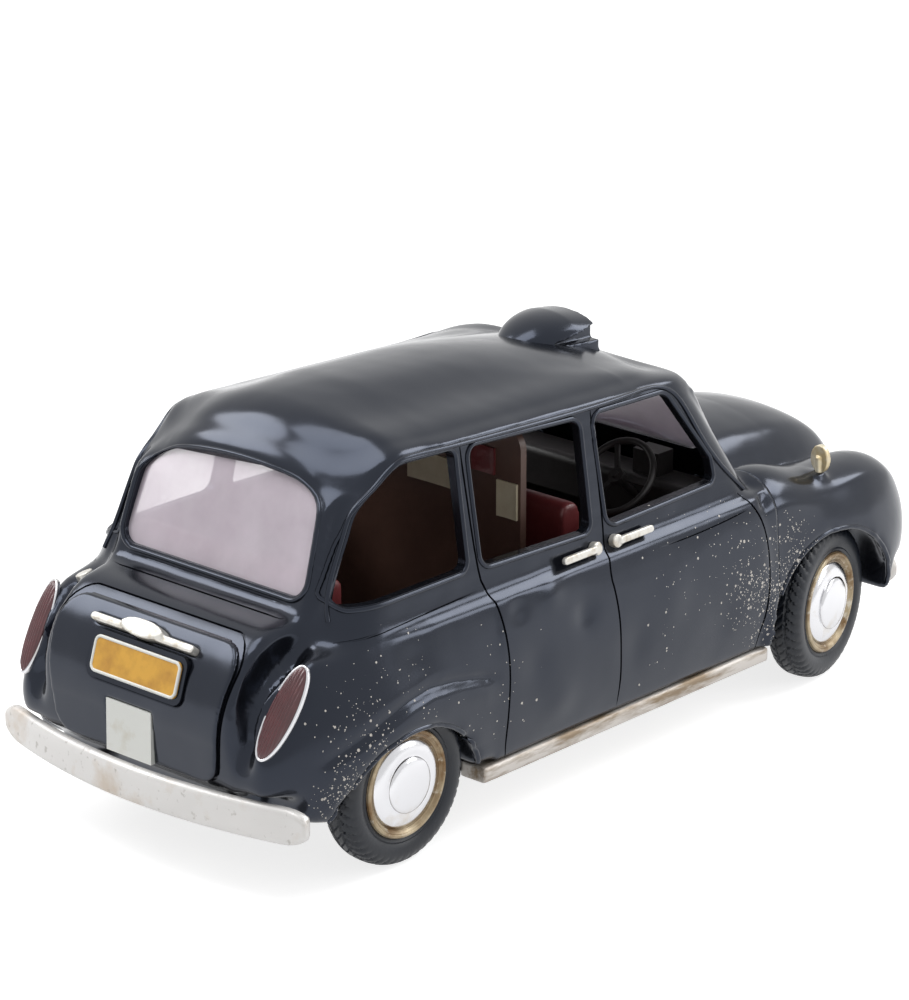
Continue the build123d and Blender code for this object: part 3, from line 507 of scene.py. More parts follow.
# Splashes of pale paint: place and reach in millimetres, and how thick they fall
SPLATTERS = [
    ((88, -73, 42), 24, 0.75), ((92, -72, 58), 20, 0.6), ((70, -73, 50), 24, 0.4), ((60, -72, 66), 26, 0.16),
    ((-146, -69, 38), 17, 0.8), ((-136, -72, 50), 20, 0.4), ((-142, -70, 62), 22, 0.16),
    ((-118, -72, 68), 26, 0.08), ((-70, -72, 50), 30, 0.05), ((90, 73, 44), 26, 0.6),
    ((-144, 69, 40), 20, 0.6), ((-120, 72, 66), 28, 0.1), ((30, -72, 60), 40, 0.04),
]
# Sizes of the splashes' specks: cells in a metre, and the share of each splash that they take
SPECKS = [(640, 0.8), (1250, 1.0)]


def black_paint():
    f = Finish("black_paint")
    cast = f.noise(26, 2.0, 0.45)
    fine = f.noise(900, 3.0, 0.6)
    tone = f.mix(f.noise(60), (0.0045, 0.005, 0.0068), (0.009, 0.01, 0.0135))
    splatter = 0.0
    for scale, share in SPECKS:
        specks = f.cells(scale)
        parts = f.node("ShaderNodeSeparateColor", {0: specks.outputs["Color"]}).outputs
        size = f.range(parts[0], 0.1, 1.0, 0.1, 0.4)
        dot = f.math("LESS_THAN", specks.outputs["Distance"], size)
        zone = 0.0
        for centre, radius, thick in SPLATTERS:
            zone = f.math("MAXIMUM", zone, f.math("MULTIPLY", f.near(centre, radius), thick * share))
        splatter = f.math("MAXIMUM", splatter, f.math("MULTIPLY", dot, f.math("LESS_THAN", parts[1], zone)))
    colour = f.mix(splatter, tone, (0.66, 0.62, 0.56))
    rough = f.range(f.noise(45), 0.3, 0.7, 0.14, 0.22)
    height = f.math("ADD", f.math("MULTIPLY", fine, 0.015), f.math("MULTIPLY", splatter, 0.15))
    height = f.math("ADD", f.math("MULTIPLY", cast, 4.0), height)
    return f.set(
        Base_Color=colour, Roughness=f.math("MAXIMUM", rough, f.math("MULTIPLY", splatter, 0.6)),
        Specular_IOR_Level=0.5, Specular_Tint=(0.68, 0.77, 1.0), Normal=f.bump(height, 0.25, 0.001),
    )


def rubber():
    f = Finish("tyre_rubber")
    tone = f.mix(f.noise(120), (0.006, 0.008, 0.0125), (0.014, 0.018, 0.027))
    dust = f.range(f.noise(40, 6.0), 0.5, 0.8)
    return f.set(
        Base_Color=f.mix(f.math("MULTIPLY", dust, 0.18), tone, (0.09, 0.085, 0.08)), Roughness=0.4,
        Specular_IOR_Level=0.4, Normal=f.bump(f.noise(700), 0.2, 0.0004),
    )


def rusty_rim():
    f = Finish("rusty_rim")
    tone = f.mix(f.range(f.noise(90, 6.0), 0.38, 0.62), (0.5, 0.41, 0.27), (0.2, 0.115, 0.045))
    worn = f.mix(f.range(f.noise(260, 5.0), 0.56, 0.7), tone, (0.72, 0.66, 0.55))
    return f.set(
        Base_Color=worn, Metallic=0.35, Roughness=f.range(f.noise(150), 0.3, 0.7, 0.3, 0.55),
        Normal=f.bump(f.noise(420), 0.25, 0.0004),
    )


def worn_silver():
    f = Finish("worn_silver")
    stain = f.range(f.noise(75, 6.0), 0.56, 0.76)
    tone = f.mix(f.math("MULTIPLY", stain, 0.55), (0.64, 0.64, 0.66), (0.45, 0.38, 0.28))
    return f.set(
        Base_Color=tone, Metallic=1.0, Roughness=f.range(f.noise(130), 0.3, 0.7, 0.14, 0.26),
        Normal=f.bump(f.noise(240), 0.12, 0.0006),
    )


def bumper_silver():
    f = Finish("bumper_silver")
    stain = f.range(f.noise(42, 7.0, 0.62), 0.54, 0.72)
    tone = f.mix(f.math("MULTIPLY", stain, 0.7), (0.74, 0.725, 0.71), (0.56, 0.46, 0.36))
    pits = f.range(f.noise(330, 3.0), 0.62, 0.72)
    tone = f.mix(f.math("MULTIPLY", pits, 0.4), tone, (0.2, 0.17, 0.13))
    return f.set(
        Base_Color=tone, Metallic=0.3, Roughness=f.range(f.noise(90), 0.3, 0.7, 0.36, 0.55),
        Normal=f.bump(f.noise(110, 3.0), 0.2, 0.0012),
    )


def sill_silver():
    f = Finish("sill_silver")
    worn = f.range(f.noise(160, 6.0, 0.65, (0.16, 1, 1)), 0.48, 0.64)
    scratches = f.noise(300, 4.0, 0.6, (0.3, 1, 1))
    return f.set(
        Base_Color=f.mix(worn, (0.66, 0.62, 0.58), (0.27, 0.2, 0.13)), Metallic=0.35, Roughness=0.45,
        Normal=f.bump(scratches, 0.3, 0.0006),
    )


def hazy_glass():
    f = Finish("hazy_glass")
    tone = f.mix(f.noise(50, 3.0), (0.74, 0.63, 0.72), (0.88, 0.81, 0.88))
    alpha = f.range(f.noise(35, 4.0), 0.3, 0.7, 0.46, 0.62)
    return f.set(Base_Color=tone, Alpha=alpha, Roughness=0.12, Specular_IOR_Level=0.6)


def clear_lens():
    f = Finish("clear_lens")
    ribs = {"Vector": f.place, "Scale": 160.0, "Distortion": 0.0}
    wave = f.node("ShaderNodeTexWave", ribs, bands_direction="Y").outputs["Fac"]
    tone = f.mix(f.noise(120), (0.7, 0.7, 0.66), (0.85, 0.85, 0.8))
    return f.set(
        Base_Color=tone, Roughness=0.12, Metallic=0.2, Coat_Weight=0.6, Normal=f.bump(wave, 0.5, 0.0008)
    )


def red_lens():
    f = Finish("maroon_lens")
    tone = f.mix(f.noise(180, 4.0), (0.045, 0.008, 0.012), (0.13, 0.025, 0.03))
    return f.set(
        Base_Color=tone, Roughness=0.25, Coat_Weight=0.5, Coat_Roughness=0.1,
        Normal=f.bump(f.noise(300), 0.2, 0.0004),
    )


MAKERS = {
    "black_paint": black_paint, "tyre": rubber, "rim": rusty_rim, "bright": worn_silver,
    "bumper": bumper_silver, "sill": sill_silver, "glass": hazy_glass, "clear_lens": clear_lens,
    "red_lens": red_lens,
}
# Two-toned finishes by slot: name; scale and detail of the mottling; where in it the second tone sets in; the
# two tones; scale, detail, strength and depth of the bump; metallic; roughness
TWO_TONES = {
    "old_gold": ("old_gold", (200, 4.0), (0.4, 0.65), (0.56, 0.45, 0.25), (0.68, 0.62, 0.48),
                 (400, 4.0, 0.15, 0.0004), 0.5, 0.38),
    "aged_silver": ("aged_cream_silver", (260, 5.0), (0.5, 0.72), (0.74, 0.72, 0.67), (0.45, 0.39, 0.3),
                    (500, 4.0, 0.15, 0.0003), 0.45, 0.34),
    "plate_yellow": ("amber_plate", (130, 6.0), (0.4, 0.7), (0.74, 0.4, 0.055), (0.5, 0.24, 0.035),
                     (350, 4.0, 0.15, 0.0003), 0.0, 0.4),
    "plate_white": ("white_plate", (110, 6.0), (0.58, 0.85), (0.82, 0.83, 0.79), (0.64, 0.6, 0.5),
                    (350, 4.0, 0.12, 0.0003), 0.0, 0.42),
    "seat": ("maroon_seat", (85, 5.0), None, (0.11, 0.014, 0.018), (0.2, 0.04, 0.04),
             (480, 5.0, 0.3, 0.0005), 0.0, 0.38),
    "cabin_dark": ("cabin_dark", (110, 5.0), None, (0.016, 0.015, 0.016), (0.05, 0.045, 0.045),
                   (380, 4.0, 0.2, 0.0005), 0.0, 0.45),
    "partition": ("partition_paint", (70, 5.0), None, (0.06, 0.03, 0.024), (0.13, 0.07, 0.05),
                  (300, 4.0, 0.2, 0.0005), 0.0, 0.4),
    "paper": ("blank_notice", (150, 6.0), None, (0.72, 0.66, 0.5), (0.5, 0.42, 0.28),
              (420, 4.0, 0.2, 0.0003), 0.0, 0.6),
    "sign": ("sign_face", (140, 5.0), None, (0.5, 0.36, 0.07), (0.3, 0.2, 0.05),
             (350, 4.0, 0.15, 0.0003), 0.0, 0.35),
    "floor": ("underside", (70, 5.0), None, (0.008, 0.008, 0.009), (0.03, 0.028, 0.026),
              (260, 4.0, 0.25, 0.0006), 0.0, 0.6),
    "steel": ("axle_steel", (200, 5.0), None, (0.36, 0.35, 0.34), (0.2, 0.16, 0.13),
              (500, 4.0, 0.15, 0.0003), 0.8, 0.4),
}
MIXED = {}


def two_tone(name, mottle, sets_in, first, second, bump, metallic, rough):
    """Mixes a mottled finish from a row of the table."""
    f = Finish(name)
    share = f.noise(*mottle)
    if sets_in:
        share = f.range(share, *sets_in)
    scale, detail, strength, depth = bump
    return f.set(
        Base_Color=f.mix(share, first, second), Metallic=metallic, Roughness=rough,
        Normal=f.bump(f.noise(scale, detail), strength, depth),
    )


def finish_of(slot):
    """A slot's finish, mixed when it is first asked for."""
    if slot not in MIXED:
        MIXED[slot] = two_tone(*TWO_TONES[slot]) if slot in TWO_TONES else MAKERS[slot]()
    return MIXED[slot]


# The cast body, in millimetres

SHELL_NODES = (
    "side_panel_left", "side_panel_right", "windscreen_frame", "back_panel", "roof", "rear_wing_left",
    "rear_wing_right", "tail_body",
)
NOSE_NODES = ("front_wing_left", "front_wing_right", "front_body", "bonnet")
SPLIT_X = 86.0
# The cabin's walls: level of their foot, rise to the gutter, and each wall's place and inward lean
WAIST_Z = 84.0
WALL_RISE = 51.5
GUTTER_Z = 135.5
GUTTER_FALL = 0.05
SIDE_FOOT = 65.8
SIDE_LEAN = 10.8
SCREEN_FOOT = 83.0
SCREEN_LEAN = 29.0
BACK_FOOT = -143.0
BACK_LEAN = 16.5
BACK_CORNER = 21.0
SCREEN_CORNER = 14.0
CABIN_MIDDLE = (-20, 0, 95)
# Windows as in the part's source: (x, z) of the sides, (y, z) of the glass, and each corner's radius
SIDE_WINDOWS = [
    ([(-136.5, 96.3), (-77.5, 96.3), (-75, 137.2), (-114.5, 139.2)], [3, 4, 3, 24]),
    ([(-69.3, 95.5), (-13, 93.5), (-10.5, 132.5), (-67.5, 136.3)], [4, 4, 4, 4]),
    ([(-3, 93.4), (56.4, 94.5), (56, 103), (37, 131), (-2.5, 132.3)], [4, 3, 3, 6, 4]),
]
SCREEN = ([(-50, 98), (50, 98), (42, 129.5), (-42, 129.5)], [8, 8, 8, 8])
BACK_WINDOW = ([(-44.3, 97.3), (44.3, 97.3), (42, 136), (-42, 136)], [6, 6, 15, 15])
# Edges beside a rear pillar, from foot to top: the quarter window's in (x, z) and the rear window's in (y, z)
QUARTER_EDGE = (SIDE_WINDOWS[0][0][0], SIDE_WINDOWS[0][0][3])
BACK_EDGE = (BACK_WINDOW[0][1], BACK_WINDOW[0][2])
# Wheel arches: x and z of the arc's centre, its radius; and how far the cut and the lip stand outside it
ARCHES = [(-115.0, 12.1, 37.9), (119.0, 24.0, 36.0)]
ARCH_CUT = 0.5
ARCH_LIP = 1.2
# Shut lines and creases of a side, as (x, z)
REAR_DOOR_BACK = [
    (-71.6, 140), (-72.3, 93), (-69.5, 87), (-66.6, 77), (-65.4, 62), (-66.4, 44), (-66.6, 30), (-65, 24),
]
DOORS_MEET = [(-3.6, 136), (-5.5, 92), (-9, 78), (-7.4, 70), (-6.2, 57), (-5.3, 40), (-5.6, 23)]
FRONT_DOOR_FRONT = [
    (69, 87), (73, 82.5), (77.6, 75), (79.8, 64), (79.8, 50), (78.1, 38), (75.6, 31), (74.6, 23),
]
DOOR_TOP = [(20, 80), (38, 79.7), (57, 80.2), (74, 81.4)]
WING_TOP = [(-139, 85.6), (-120, 86.6), (-96, 87.4), (-74, 88)]
WING_CREASE = [
    (-155.5, 50.2), (-142.4, 54.5), (-129.2, 58.9), (-117.8, 62.2), (-106, 63.8), (-94.6, 62.6), (-81.2, 60),
    (-70, 56.6),
]
DRIP_RAIL = [
    (76, 85), (57.4, 103), (44, 130), (38, 134), (30, 135.2), (-4, 135), (-71, 138.6), (-96, 140.2),
    (-108, 140), (-115.5, 136.8), (-120.4, 131), (-123.3, 125), (-126.7, 118), (-130.1, 111), (-133.4, 104),
    (-136.4, 97), (-137.4, 90),
]
# Rings and lines of the tail, as (y, z)
LID_RING = ([(-39.5, 40.5), (39.5, 40.5), (45, 89), (-45, 89)], [6, 6, 10, 10])
SHELF_LINES = [[(-40, 94.4), (40, 94.4)], [(-42, 91.6), (42, 91.6)]]
# Dents and swellings: place, radius and height
DENTS = [
    ((-40, -73, 79), 8, 0.9), ((-24, -73, 67), 9, -1.1), ((-52, -73, 56), 12, -0.8), ((24, -73, 60), 16, 0.6),
    ((2, -74, 48), 14, -0.7), ((-38, -73, 40), 12, 0.6), ((-58, -72, 78), 7, -0.6), ((52, -72, 44), 15, -0.5),
    ((-112, -73, 74), 12, -0.5), ((-40, 73, 70), 12, -0.7), ((24, 73, 52), 16, 0.6),
]
# Blocks that close slits on the left side before the skin is cast: from and to in x, y and z
SLIT_BLOCKS = [
    (66, 85, 37, 66.5, 78, 84.6),
    (85, 152, 36, 39, 58, 70),
    (116.5, 122.5, 61.5, 66.5, 74, 82.6),
]
# How deep the outer and the inner face of a window's filler lie in the wall
FILLER_FACES = (0.25, 3.2)
# A tail lamp's ends and the way it faces, on the left side, and its bed's half width
LAMP_TOP = (-155, 61, 82)
LAMP_FOOT = (-173.3, 58.3, 54)
LAMP_OUT = (-0.75, 0.5, 0.45)
LAMP_BED = 6.2
# How far the hand-made casting sags or is drawn in, and the bonnet's rise at each x
ROOF_DROP = 1.0
SHOULDER_DROP = 2.8
LEFT_DROP = 3.6
CREST_DROP = 1.4
CORNER_DROP = 5.8
CORNER_PULL = 2.6
BONNET_LIFT = [(82, 0), (100, 0), (130, 0.8), (150, 2.6), (168, 4.4), (178, 4.0), (184, 3.0)]
# Where the skin is smoothed before and after it is shaped: the place, the passes and what picks its points
SOFT_BEFORE = [
    ("roof", 40, lambda x, y, z: z > gutter_z(x) + 1.5),
    ("roof_rear", 120, lambda x, y, z: z > gutter_z(x) - 8 and x < -85),
    ("roof_front_and_left", 50, lambda x, y, z: z > gutter_z(x) - 5 and (x > 22 or y > 30)),
    ("rear_wings", 26, lambda x, y, z: x < -70 and abs(y) > 49 and z < 82),
    ("tail", 14, lambda x, y, z: x < -136 and z < 98),
    ("lamp_beds", 40, lambda x, y, z: -168 < x < -134 and 44 < abs(y) < 66 and 66 < z < 96),
    ("nose", 12, lambda x, y, z: x > 84),
    ("rear_shelf", 30, lambda x, y, z: -158 < x < -134 and abs(y) < 50 and 84 < z < 97.5),
]
SOFT_AFTER = [
    ("rear_end", 5, lambda x, y, z: x < -100),
    ("roof_rear_edge", 16, lambda x, y, z: z > 131 and x < -80),
    ("wing_shoulders", 14, lambda x, y, z: -158 < x < -126 and abs(y) > 54 and 72 < z < 94),
    ("rear_pillars", 14, lambda x, y, z: x < -106 and abs(y) > 36 and 86 < z < 142),
    ("bonnet_valleys", 40, lambda x, y, z: 78 < x < 158 and 34 < abs(y) < 49 and 56 < z < 96),
]


def gutter_z(x):
    return GUTTER_Z - GUTTER_FALL * x


def cabin_half(z):
    return SIDE_FOOT - (z - WAIST_Z) * SIDE_LEAN / WALL_RISE


def screen_x(z):
    return SCREEN_FOOT - (z - WAIST_Z) * SCREEN_LEAN / WALL_RISE


def back_x(z):
    return BACK_FOOT + (z - WAIST_Z) * BACK_LEAN / WALL_RISE


def edge_at(z, edge):
    """Where a straight window edge stands at a level."""
    (foot, low), (top, high) = edge
    return foot + (z - low) * (top - foot) / (high - low)


def on_side(place, side):
    """A place or direction of the left side, or its mirror image on the right."""
    return Vector((place[0], side * place[1], place[2]))


def cabin_y(x, z, inset):
    """How far out the cabin's wall stands, with its rounded upright corners."""
    half = cabin_half(z) - inset
    ends = ((back_x(z) + inset, BACK_CORNER - inset, -1), (screen_x(z) - inset, SCREEN_CORNER - inset, 1))
    for end, corner, way in ends:
        past = min(max(way * (x - end) + corner, 0), corner)
        half -= corner - (corner**2 - past**2) ** 0.5
    return half


def side_filler(side, rows=12, columns=60, foot=90.0, rise=46.0):
    """A curved slab that closes a side's window openings until they are cut clean."""
    grids = []
    for inset in FILLER_FACES:
        grid = []
        for j in range(rows + 1):
            level = foot + rise * j / rows
            start, end = back_x(level) + 2.5, screen_x(level) - 3.5
            row = []
            for i in range(columns + 1):
                x = start + (end - start) * i / columns
                z = foot + (gutter_z(x) - foot - 1) * j / rows
                row.append((x, side * cabin_y(x, z, inset), z))
            grid.append(row)
        grids.append(grid)
    return slab("side_filler", *grids)


def end_filler(plane_x, way, half, low, high):
    """A slab that closes the windscreen or the rear window until it is cut clean."""
    grids = []
    for inset in FILLER_FACES:
        grids.append([[(plane_x(z) - way * inset, y, z) for y in (-half, half)] for z in (low, high)])
    return slab("end_filler", *grids)


def settled(points):
    """How the casting sags: lower shoulders, most on the left, rounded rear corners, and a rising bonnet."""
    points = np.array(points, float)
    x, y, z = points.T
    aside, high = np.abs(y), z - gutter_z(x)
    shoulders = (ROOF_DROP + SHOULDER_DROP * bell(aside, 34, 16)) * ramp(high, 0, 6) * ramp(x, -132, -82)
    left = LEFT_DROP * ramp(y, -6, 50) * ramp(z, 100, 140) * ramp(-x, -70, -20)
    corner = bell(aside, 47, 18) * ramp(-x, 98, 122) * ramp(z, 122, 142)
    crest = ramp(-x, 104, 122) * ramp(z, 132, 142)
    lift = np.interp(x, *zip(*BONNET_LIFT)) * np.exp(-((y / 31) ** 6)) * ramp(z, 42, 68)
    points[:, 0] += CORNER_PULL * corner
    points[:, 2] += lift - shoulders - left - CORNER_DROP * corner - CREST_DROP * crest
    return points


def laid_round(piece, route, side, reach=9.0, evenings=16):
    """Drops (x, z) points square onto the cabin's side, round its rear corner too, and evens them out."""
    found = []
    for x, z in route:
        over = min(x - back_x(z) - BACK_CORNER, 0)
        sideways = (BACK_CORNER**2 - max(over, 0.1 - BACK_CORNER) ** 2) ** 0.5
        out = Vector((over, side * sideways, 0)).normalized()
        found += laid_on(piece, [Vector((x, side * cabin_y(x, z, 0), z))], -out, reach)
    for _ in range(evenings):
        threes = list(zip([found[0]] + found, found, found[1:] + [found[-1]]))
        places = [(a[0] + b[0] * 2 + c[0]) / 4 for a, b, c in threes]
        normals = [(a[1] + b[1] * 2 + c[1]).normalized() for a, b, c in threes]
        found = list(zip(places, normals))
    return found


def lamp_axes(side):
    """A tail lamp's middle and its axes: along, across and out, and its half length."""
    top, foot = on_side(LAMP_TOP, side), on_side(LAMP_FOOT, side)
    out = on_side(LAMP_OUT, side).normalized()
    run = foot - top
    along = (run - out * run.dot(out)).normalized()
    return (top + foot) / 2, along, out.cross(along), out, run.length / 2 + 1


class TAXI_OT_body(bpy.types.Operator):
    """Cast cabin, wings, tail and bonnet as one soft skin, then cut its windows, arches and shut lines"""

    bl_idname = "taxi.body"
    bl_label = "Body"

    def execute(self, context):
        s = context.scene.taxi_body
        body = cast_copy("body_shell", SHELL_NODES + NOSE_NODES, self.fillers())
        melt(body, s.grain, 8)
        for row in SOFT_BEFORE:
            soften(body, *row)
        self.shape(body)
        for row in SOFT_AFTER:
            soften(body, *row)
        carve(body, self.openings())
        score(body, self.shut_lines(), s.groove_width, s.groove_depth)
        smooth_shade(body)
        nose = self.split(body)
        keep(body, "body", "black_paint", finish_of("black_paint"), *SHELL_NODES)
        keep(nose, "body", "black_paint", finish_of("black_paint"), *NOSE_NODES)
        return {"FINISHED"}

    def fillers(self):
        """Blocks that close slits and openings before the skin is cast."""
        made = [end_filler(back_x, -1, 45, 94, 138), end_filler(screen_x, 1, 53, 95, 132)]
        for side in SIDES:
            made.append(side_filler(side))
            for x0, x1, y0, y1, z0, z1 in SLIT_BLOCKS:
                made.append(block(x0, x1, *sorted((side * y0, side * y1)), z0, z1))
            middle, along, across, out, half = lamp_axes(side)
            turns = [pi * k / 24 for k in range(48)]
            ring = [middle + along * (half * cos(t)) + across * (LAMP_BED * sin(t)) for t in turns]
            made.append(prism("plug", [p - out * 8 for p in ring], [p - out * 0.2 for p in ring]))
        return made

    def shape(self, body):
        """Pushes the skin in and out along its normals, on its outer side alone."""
        points, normals = points_of(body), normals_of(body)
        x, y, z = points.T
        aside = np.abs(y)
        push = self.brow(x, y, z) + self.wing_crease(x, aside, z) + self.pillar(x, aside, z)
        push -= self.bonnet_valley(x, aside, z, normals[:, 2]) + self.boot_valley(x, aside, z)
        for centre, radius, height in DENTS:
            far = np.linalg.norm(points - np.array(centre), axis=1)
            push += height * np.exp(-((far / radius) ** 2) * 2.5)
        outer = ((points - np.array(CABIN_MIDDLE)) * normals).sum(1) > 0
        set_points(body, points + normals * (push * outer)[:, None])

    def brow(self, x, y, z):
        """The swelling over the windows, fullest over the rear one, and the cove above it."""
        high = z - gutter_z(x)
        rear = np.clip((-20 - x) / 70, 0.3, 1)
        over_glass = np.clip((-100 - x) / 10, 0, 1) * np.exp(-((y / 44) ** 6))
        swelling = (0.2 * rear + 0.9 * over_glass) * bell(high, -3, 3)
        cove = 0.7 * ramp(-x, 92, 108) * bell(high, 4.5, 2.6)
        return (swelling - cove) * (z > 124)

    def bonnet_valley(self, x, aside, z, upward):
        """The hollow between the bonnet and a front wing."""
        along = np.clip((x - 88) / 10, 0, 1) * np.clip((160 - x) / 20, 0, 1)
        return 1.8 * bell(aside, 41, 4) * along * (upward > 0.2) * (z > 55)

    def boot_valley(self, x, aside, z):
        """The fold between the boot and a rear wing."""
        back = np.clip((-143 - x) / 7, 0, 1) * np.clip((z - 46) / 10, 0, 1) * (z < 88)
        return 7.0 * bell(aside, 51, 3.2) * back

    def wing_crease(self, x, aside, z):
        """The groove along a rear wing, with a swelling under it."""
        crease = np.interp(x, *zip(*WING_CREASE))
        near = (aside > 60) * np.clip((-70 - x) / 8, 0, 1) * np.clip((x + 160) / 8, 0, 1)
        return near * (0.5 * bell(z, crease - 6, 4) - bell(z, crease, 1.7))

    def pillar(self, x, aside, z):
        """A rear pillar's section: a ridge beside the rear window, a hollow before the quarter window."""
        half, end = cabin_half(z), back_x(z)
        flat = half - BACK_CORNER
        over, beside = x - end - BACK_CORNER, aside - flat
        round_in = np.arctan2(np.maximum(beside, 0), np.maximum(-over, 1e-6))
        along = np.where(beside <= 0, aside, flat + BACK_CORNER * round_in + np.maximum(over, 0))
        window = edge_at(z, BACK_EDGE)
        quarter = np.clip(edge_at(z, QUARTER_EDGE) - end - BACK_CORNER, 0.1 - BACK_CORNER, 0)
        width = flat + BACK_CORNER * np.arccos(-quarter / BACK_CORNER) - window
        share = (along - window) / np.maximum(width, 6)
        fade = ramp(z, 86, 98) * ramp(-z, -138, -124) * ramp(-x, 106, 114)
        return fade * (1.8 * bell(share, 0.2, 0.16) - 3.0 * bell(share, 0.58, 0.17))

    def openings(self):
        """Cutters for the windows and the wheel arches."""
        made = []
        for side in SIDES:
            for corners, radii in SIDE_WINDOWS:
                line = [(x, 0, z) for x, z in rounded(corners, radii)]
                made.append(self.through(line, (0, side * 40, 0), (0, side * 80, 0)))
            for x, z, radius in ARCHES:
                r = radius + ARCH_CUT
                line = [(x + r * cos(pi * k / 40), 0, z + r * sin(pi * k / 40)) for k in range(41)]
                line += [(x - r, 0, 0), (x + r, 0, 0)]
                made.append(self.through(line, (0, side * 69.5, 0), (0, side * 90, 0)))
        for (corners, radii), x0, x1 in ((SCREEN, 40, 110), (BACK_WINDOW, -160, -100)):
            line = [(0, y, z) for y, z in rounded(corners, radii)]
            made.append(self.through(line, (x0, 0, 0), (x1, 0, 0)))
        return made

    def through(self, line, start, end):
        """A cutter from one shift of an outline to another."""
        return prism("cutter", *([Vector(p) + Vector(shift) for p in line] for shift in (start, end)))

    def shut_lines(self):
        routes = []
        for side in SIDES:
            for line in (REAR_DOOR_BACK, DOORS_MEET, FRONT_DOOR_FRONT, DOOR_TOP, WING_TOP):
                routes.append((eased([(x, side * 60, z) for x, z in line]), (0, -side, 0), False))
        routes.append(([(-170, y, z) for y, z in rounded(*LID_RING)], (1, 0, 0), True))
        for line in SHELF_LINES:
            routes.append(([(-160, y, z) for y, z in line], (1, 0, 0), False))
        return routes

    def split(self, body):
        """Parts the nose from the shell, each closed."""
        nose = bpy.data.objects.new("nose_skin", body.data.copy())
        bpy.context.scene.collection.objects.link(nose)
        for piece, ahead in ((body, False), (nose, True)):
            activate(piece)
            bpy.ops.object.mode_set(mode="EDIT")
            bpy.ops.mesh.select_all(action="SELECT")
            bpy.ops.mesh.bisect(
                plane_co=(SPLIT_X * MM, 0, 0), plane_no=(1, 0, 0), use_fill=True,
                clear_inner=ahead, clear_outer=not ahead,
            )
            bpy.ops.object.mode_set(mode="OBJECT")
        return nose


class TAXI_OT_trim(bpy.types.Operator):
    """Lay window frames, drip rails and the arches' rolled lips on the body, then let all of it settle"""

    bl_idname = "taxi.trim"
    bl_label = "Trim"

    def execute(self, context):
        s = context.scene.taxi_body
        context.view_layer.update()
        shell, nose = bpy.data.objects["body_shell"], bpy.data.objects["nose_skin"]
        bead = half_round(s.bead_width / MM, 0.8)
        lip = half_round(s.lip_width / MM, 0.9)
        rail = half_round(1.8, 1.1, 1.6)
        reach = s.bead_width / MM * 0.55
        made = []
        for side in SIDES:
            way = (0, -side, 0)
            for window in SIDE_WINDOWS:
                line = [(x, side * 60, z) for x, z in self.around(window, reach)]
                made.append(self.lay(shell, line, way, bead, True))
            made.append(swept("rail", laid_round(shell, dense(eased(DRIP_RAIL), BEAD_STEP), side), rail))
            for (x, z, radius), piece in zip(ARCHES, (shell, nose)):
                r = radius + ARCH_LIP
                turns = [pi * k / 80 for k in range(81)]
                arc = [(x + r * cos(t), side * 70, z + r * sin(t)) for t in turns]
                arc = [p for p in arc if p[2] > 27 and (p[0] > SPLIT_X + 1 or x < 0)]
                made.append(self.lay(piece, arc, way, lip, False))
        for window, plane_x, way in ((SCREEN, screen_x, (-1, 0, 0)), (BACK_WINDOW, back_x, (1, 0, 0))):
            line = [(plane_x(z), y, z) for y, z in self.around(window, reach * 1.3)]
            made.append(self.lay(shell, line, way, bead, True, 6.0))
        trim = joined("window_frames", made)
        for piece in (shell, nose, trim):
            set_points(piece, settled(points_of(piece)))
        smooth_shade(trim, 60)
        keep(trim, "body", "black_paint", finish_of("black_paint"))
        return {"FINISHED"}

    def around(self, window, reach):
        """A line that runs round a window at a distance."""
        corners, radii = window
        return rounded(grown(corners, reach), [r + reach for r in radii])

    def lay(self, piece, route, way, profile, closed, reach=60.0):
        return swept("bead", laid_on(piece, dense(route, BEAD_STEP, closed), way, reach), profile, closed)


class TAXI_OT_rear_pane(bpy.types.Operator):
    """Bend the hazy rear window into its opening"""

    bl_idname = "taxi.rear_pane"
    bl_label = "Rear window"

    def execute(self, context):
        pane = slab("rear_pane", self.sheet(1.3), self.sheet(2.5))
        smooth_shade(pane)
        keep(pane, "body", "glass", finish_of("glass"), "rear_window_glass")
        return {"FINISHED"}

    def sheet(self, inset, rows=32, columns=60, foot=96.4, rise=40.5):
        """Rows of points a little wider than the opening, on the cabin's back."""
        corners, radii = BACK_WINDOW
        edge = sorted((z, y) for y, z in rounded(grown(corners, 1.0), [r + 1 for r in radii]) if y > 0)
        levels, reaches = zip(*edge)
        grid = []
        for j in range(rows + 1):
            z = foot + rise * j / rows
            reach = np.interp(z, levels, reaches)
            row = []
            for i in range(columns + 1):
                y = reach * (2 * i / columns - 1)
                past = max(abs(y) - cabin_half(z) + BACK_CORNER, 0)
                x = back_x(z) + inset + BACK_CORNER - (BACK_CORNER**2 - past * past) ** 0.5
                row.append((x, y, z))
            grid.append([Vector(p) for p in settled(row)])
        return grid


class TAXI_OT_boot_lid(bpy.types.Operator):
    """Cast the raised boot lid"""

    bl_idname = "taxi.boot_lid"
    bl_label = "Boot lid"

    def execute(self, context):
        lid = cast_copy("boot_lid_skin", ("boot_lid",))
        melt(lid, 0.5 * MM, 12)
        smooth_shade(lid)
        keep(lid, "body", "black_paint", finish_of("black_paint"), "boot_lid")
        return {"FINISHED"}


# A tail lamp's lens: half width, how far its dome and its ribs rise, and the ribs' pitch
LENS_HALF = 4.8
LENS_DOME = 2.0
LENS_RIB = 0.14
RIB_PITCH = 1.15


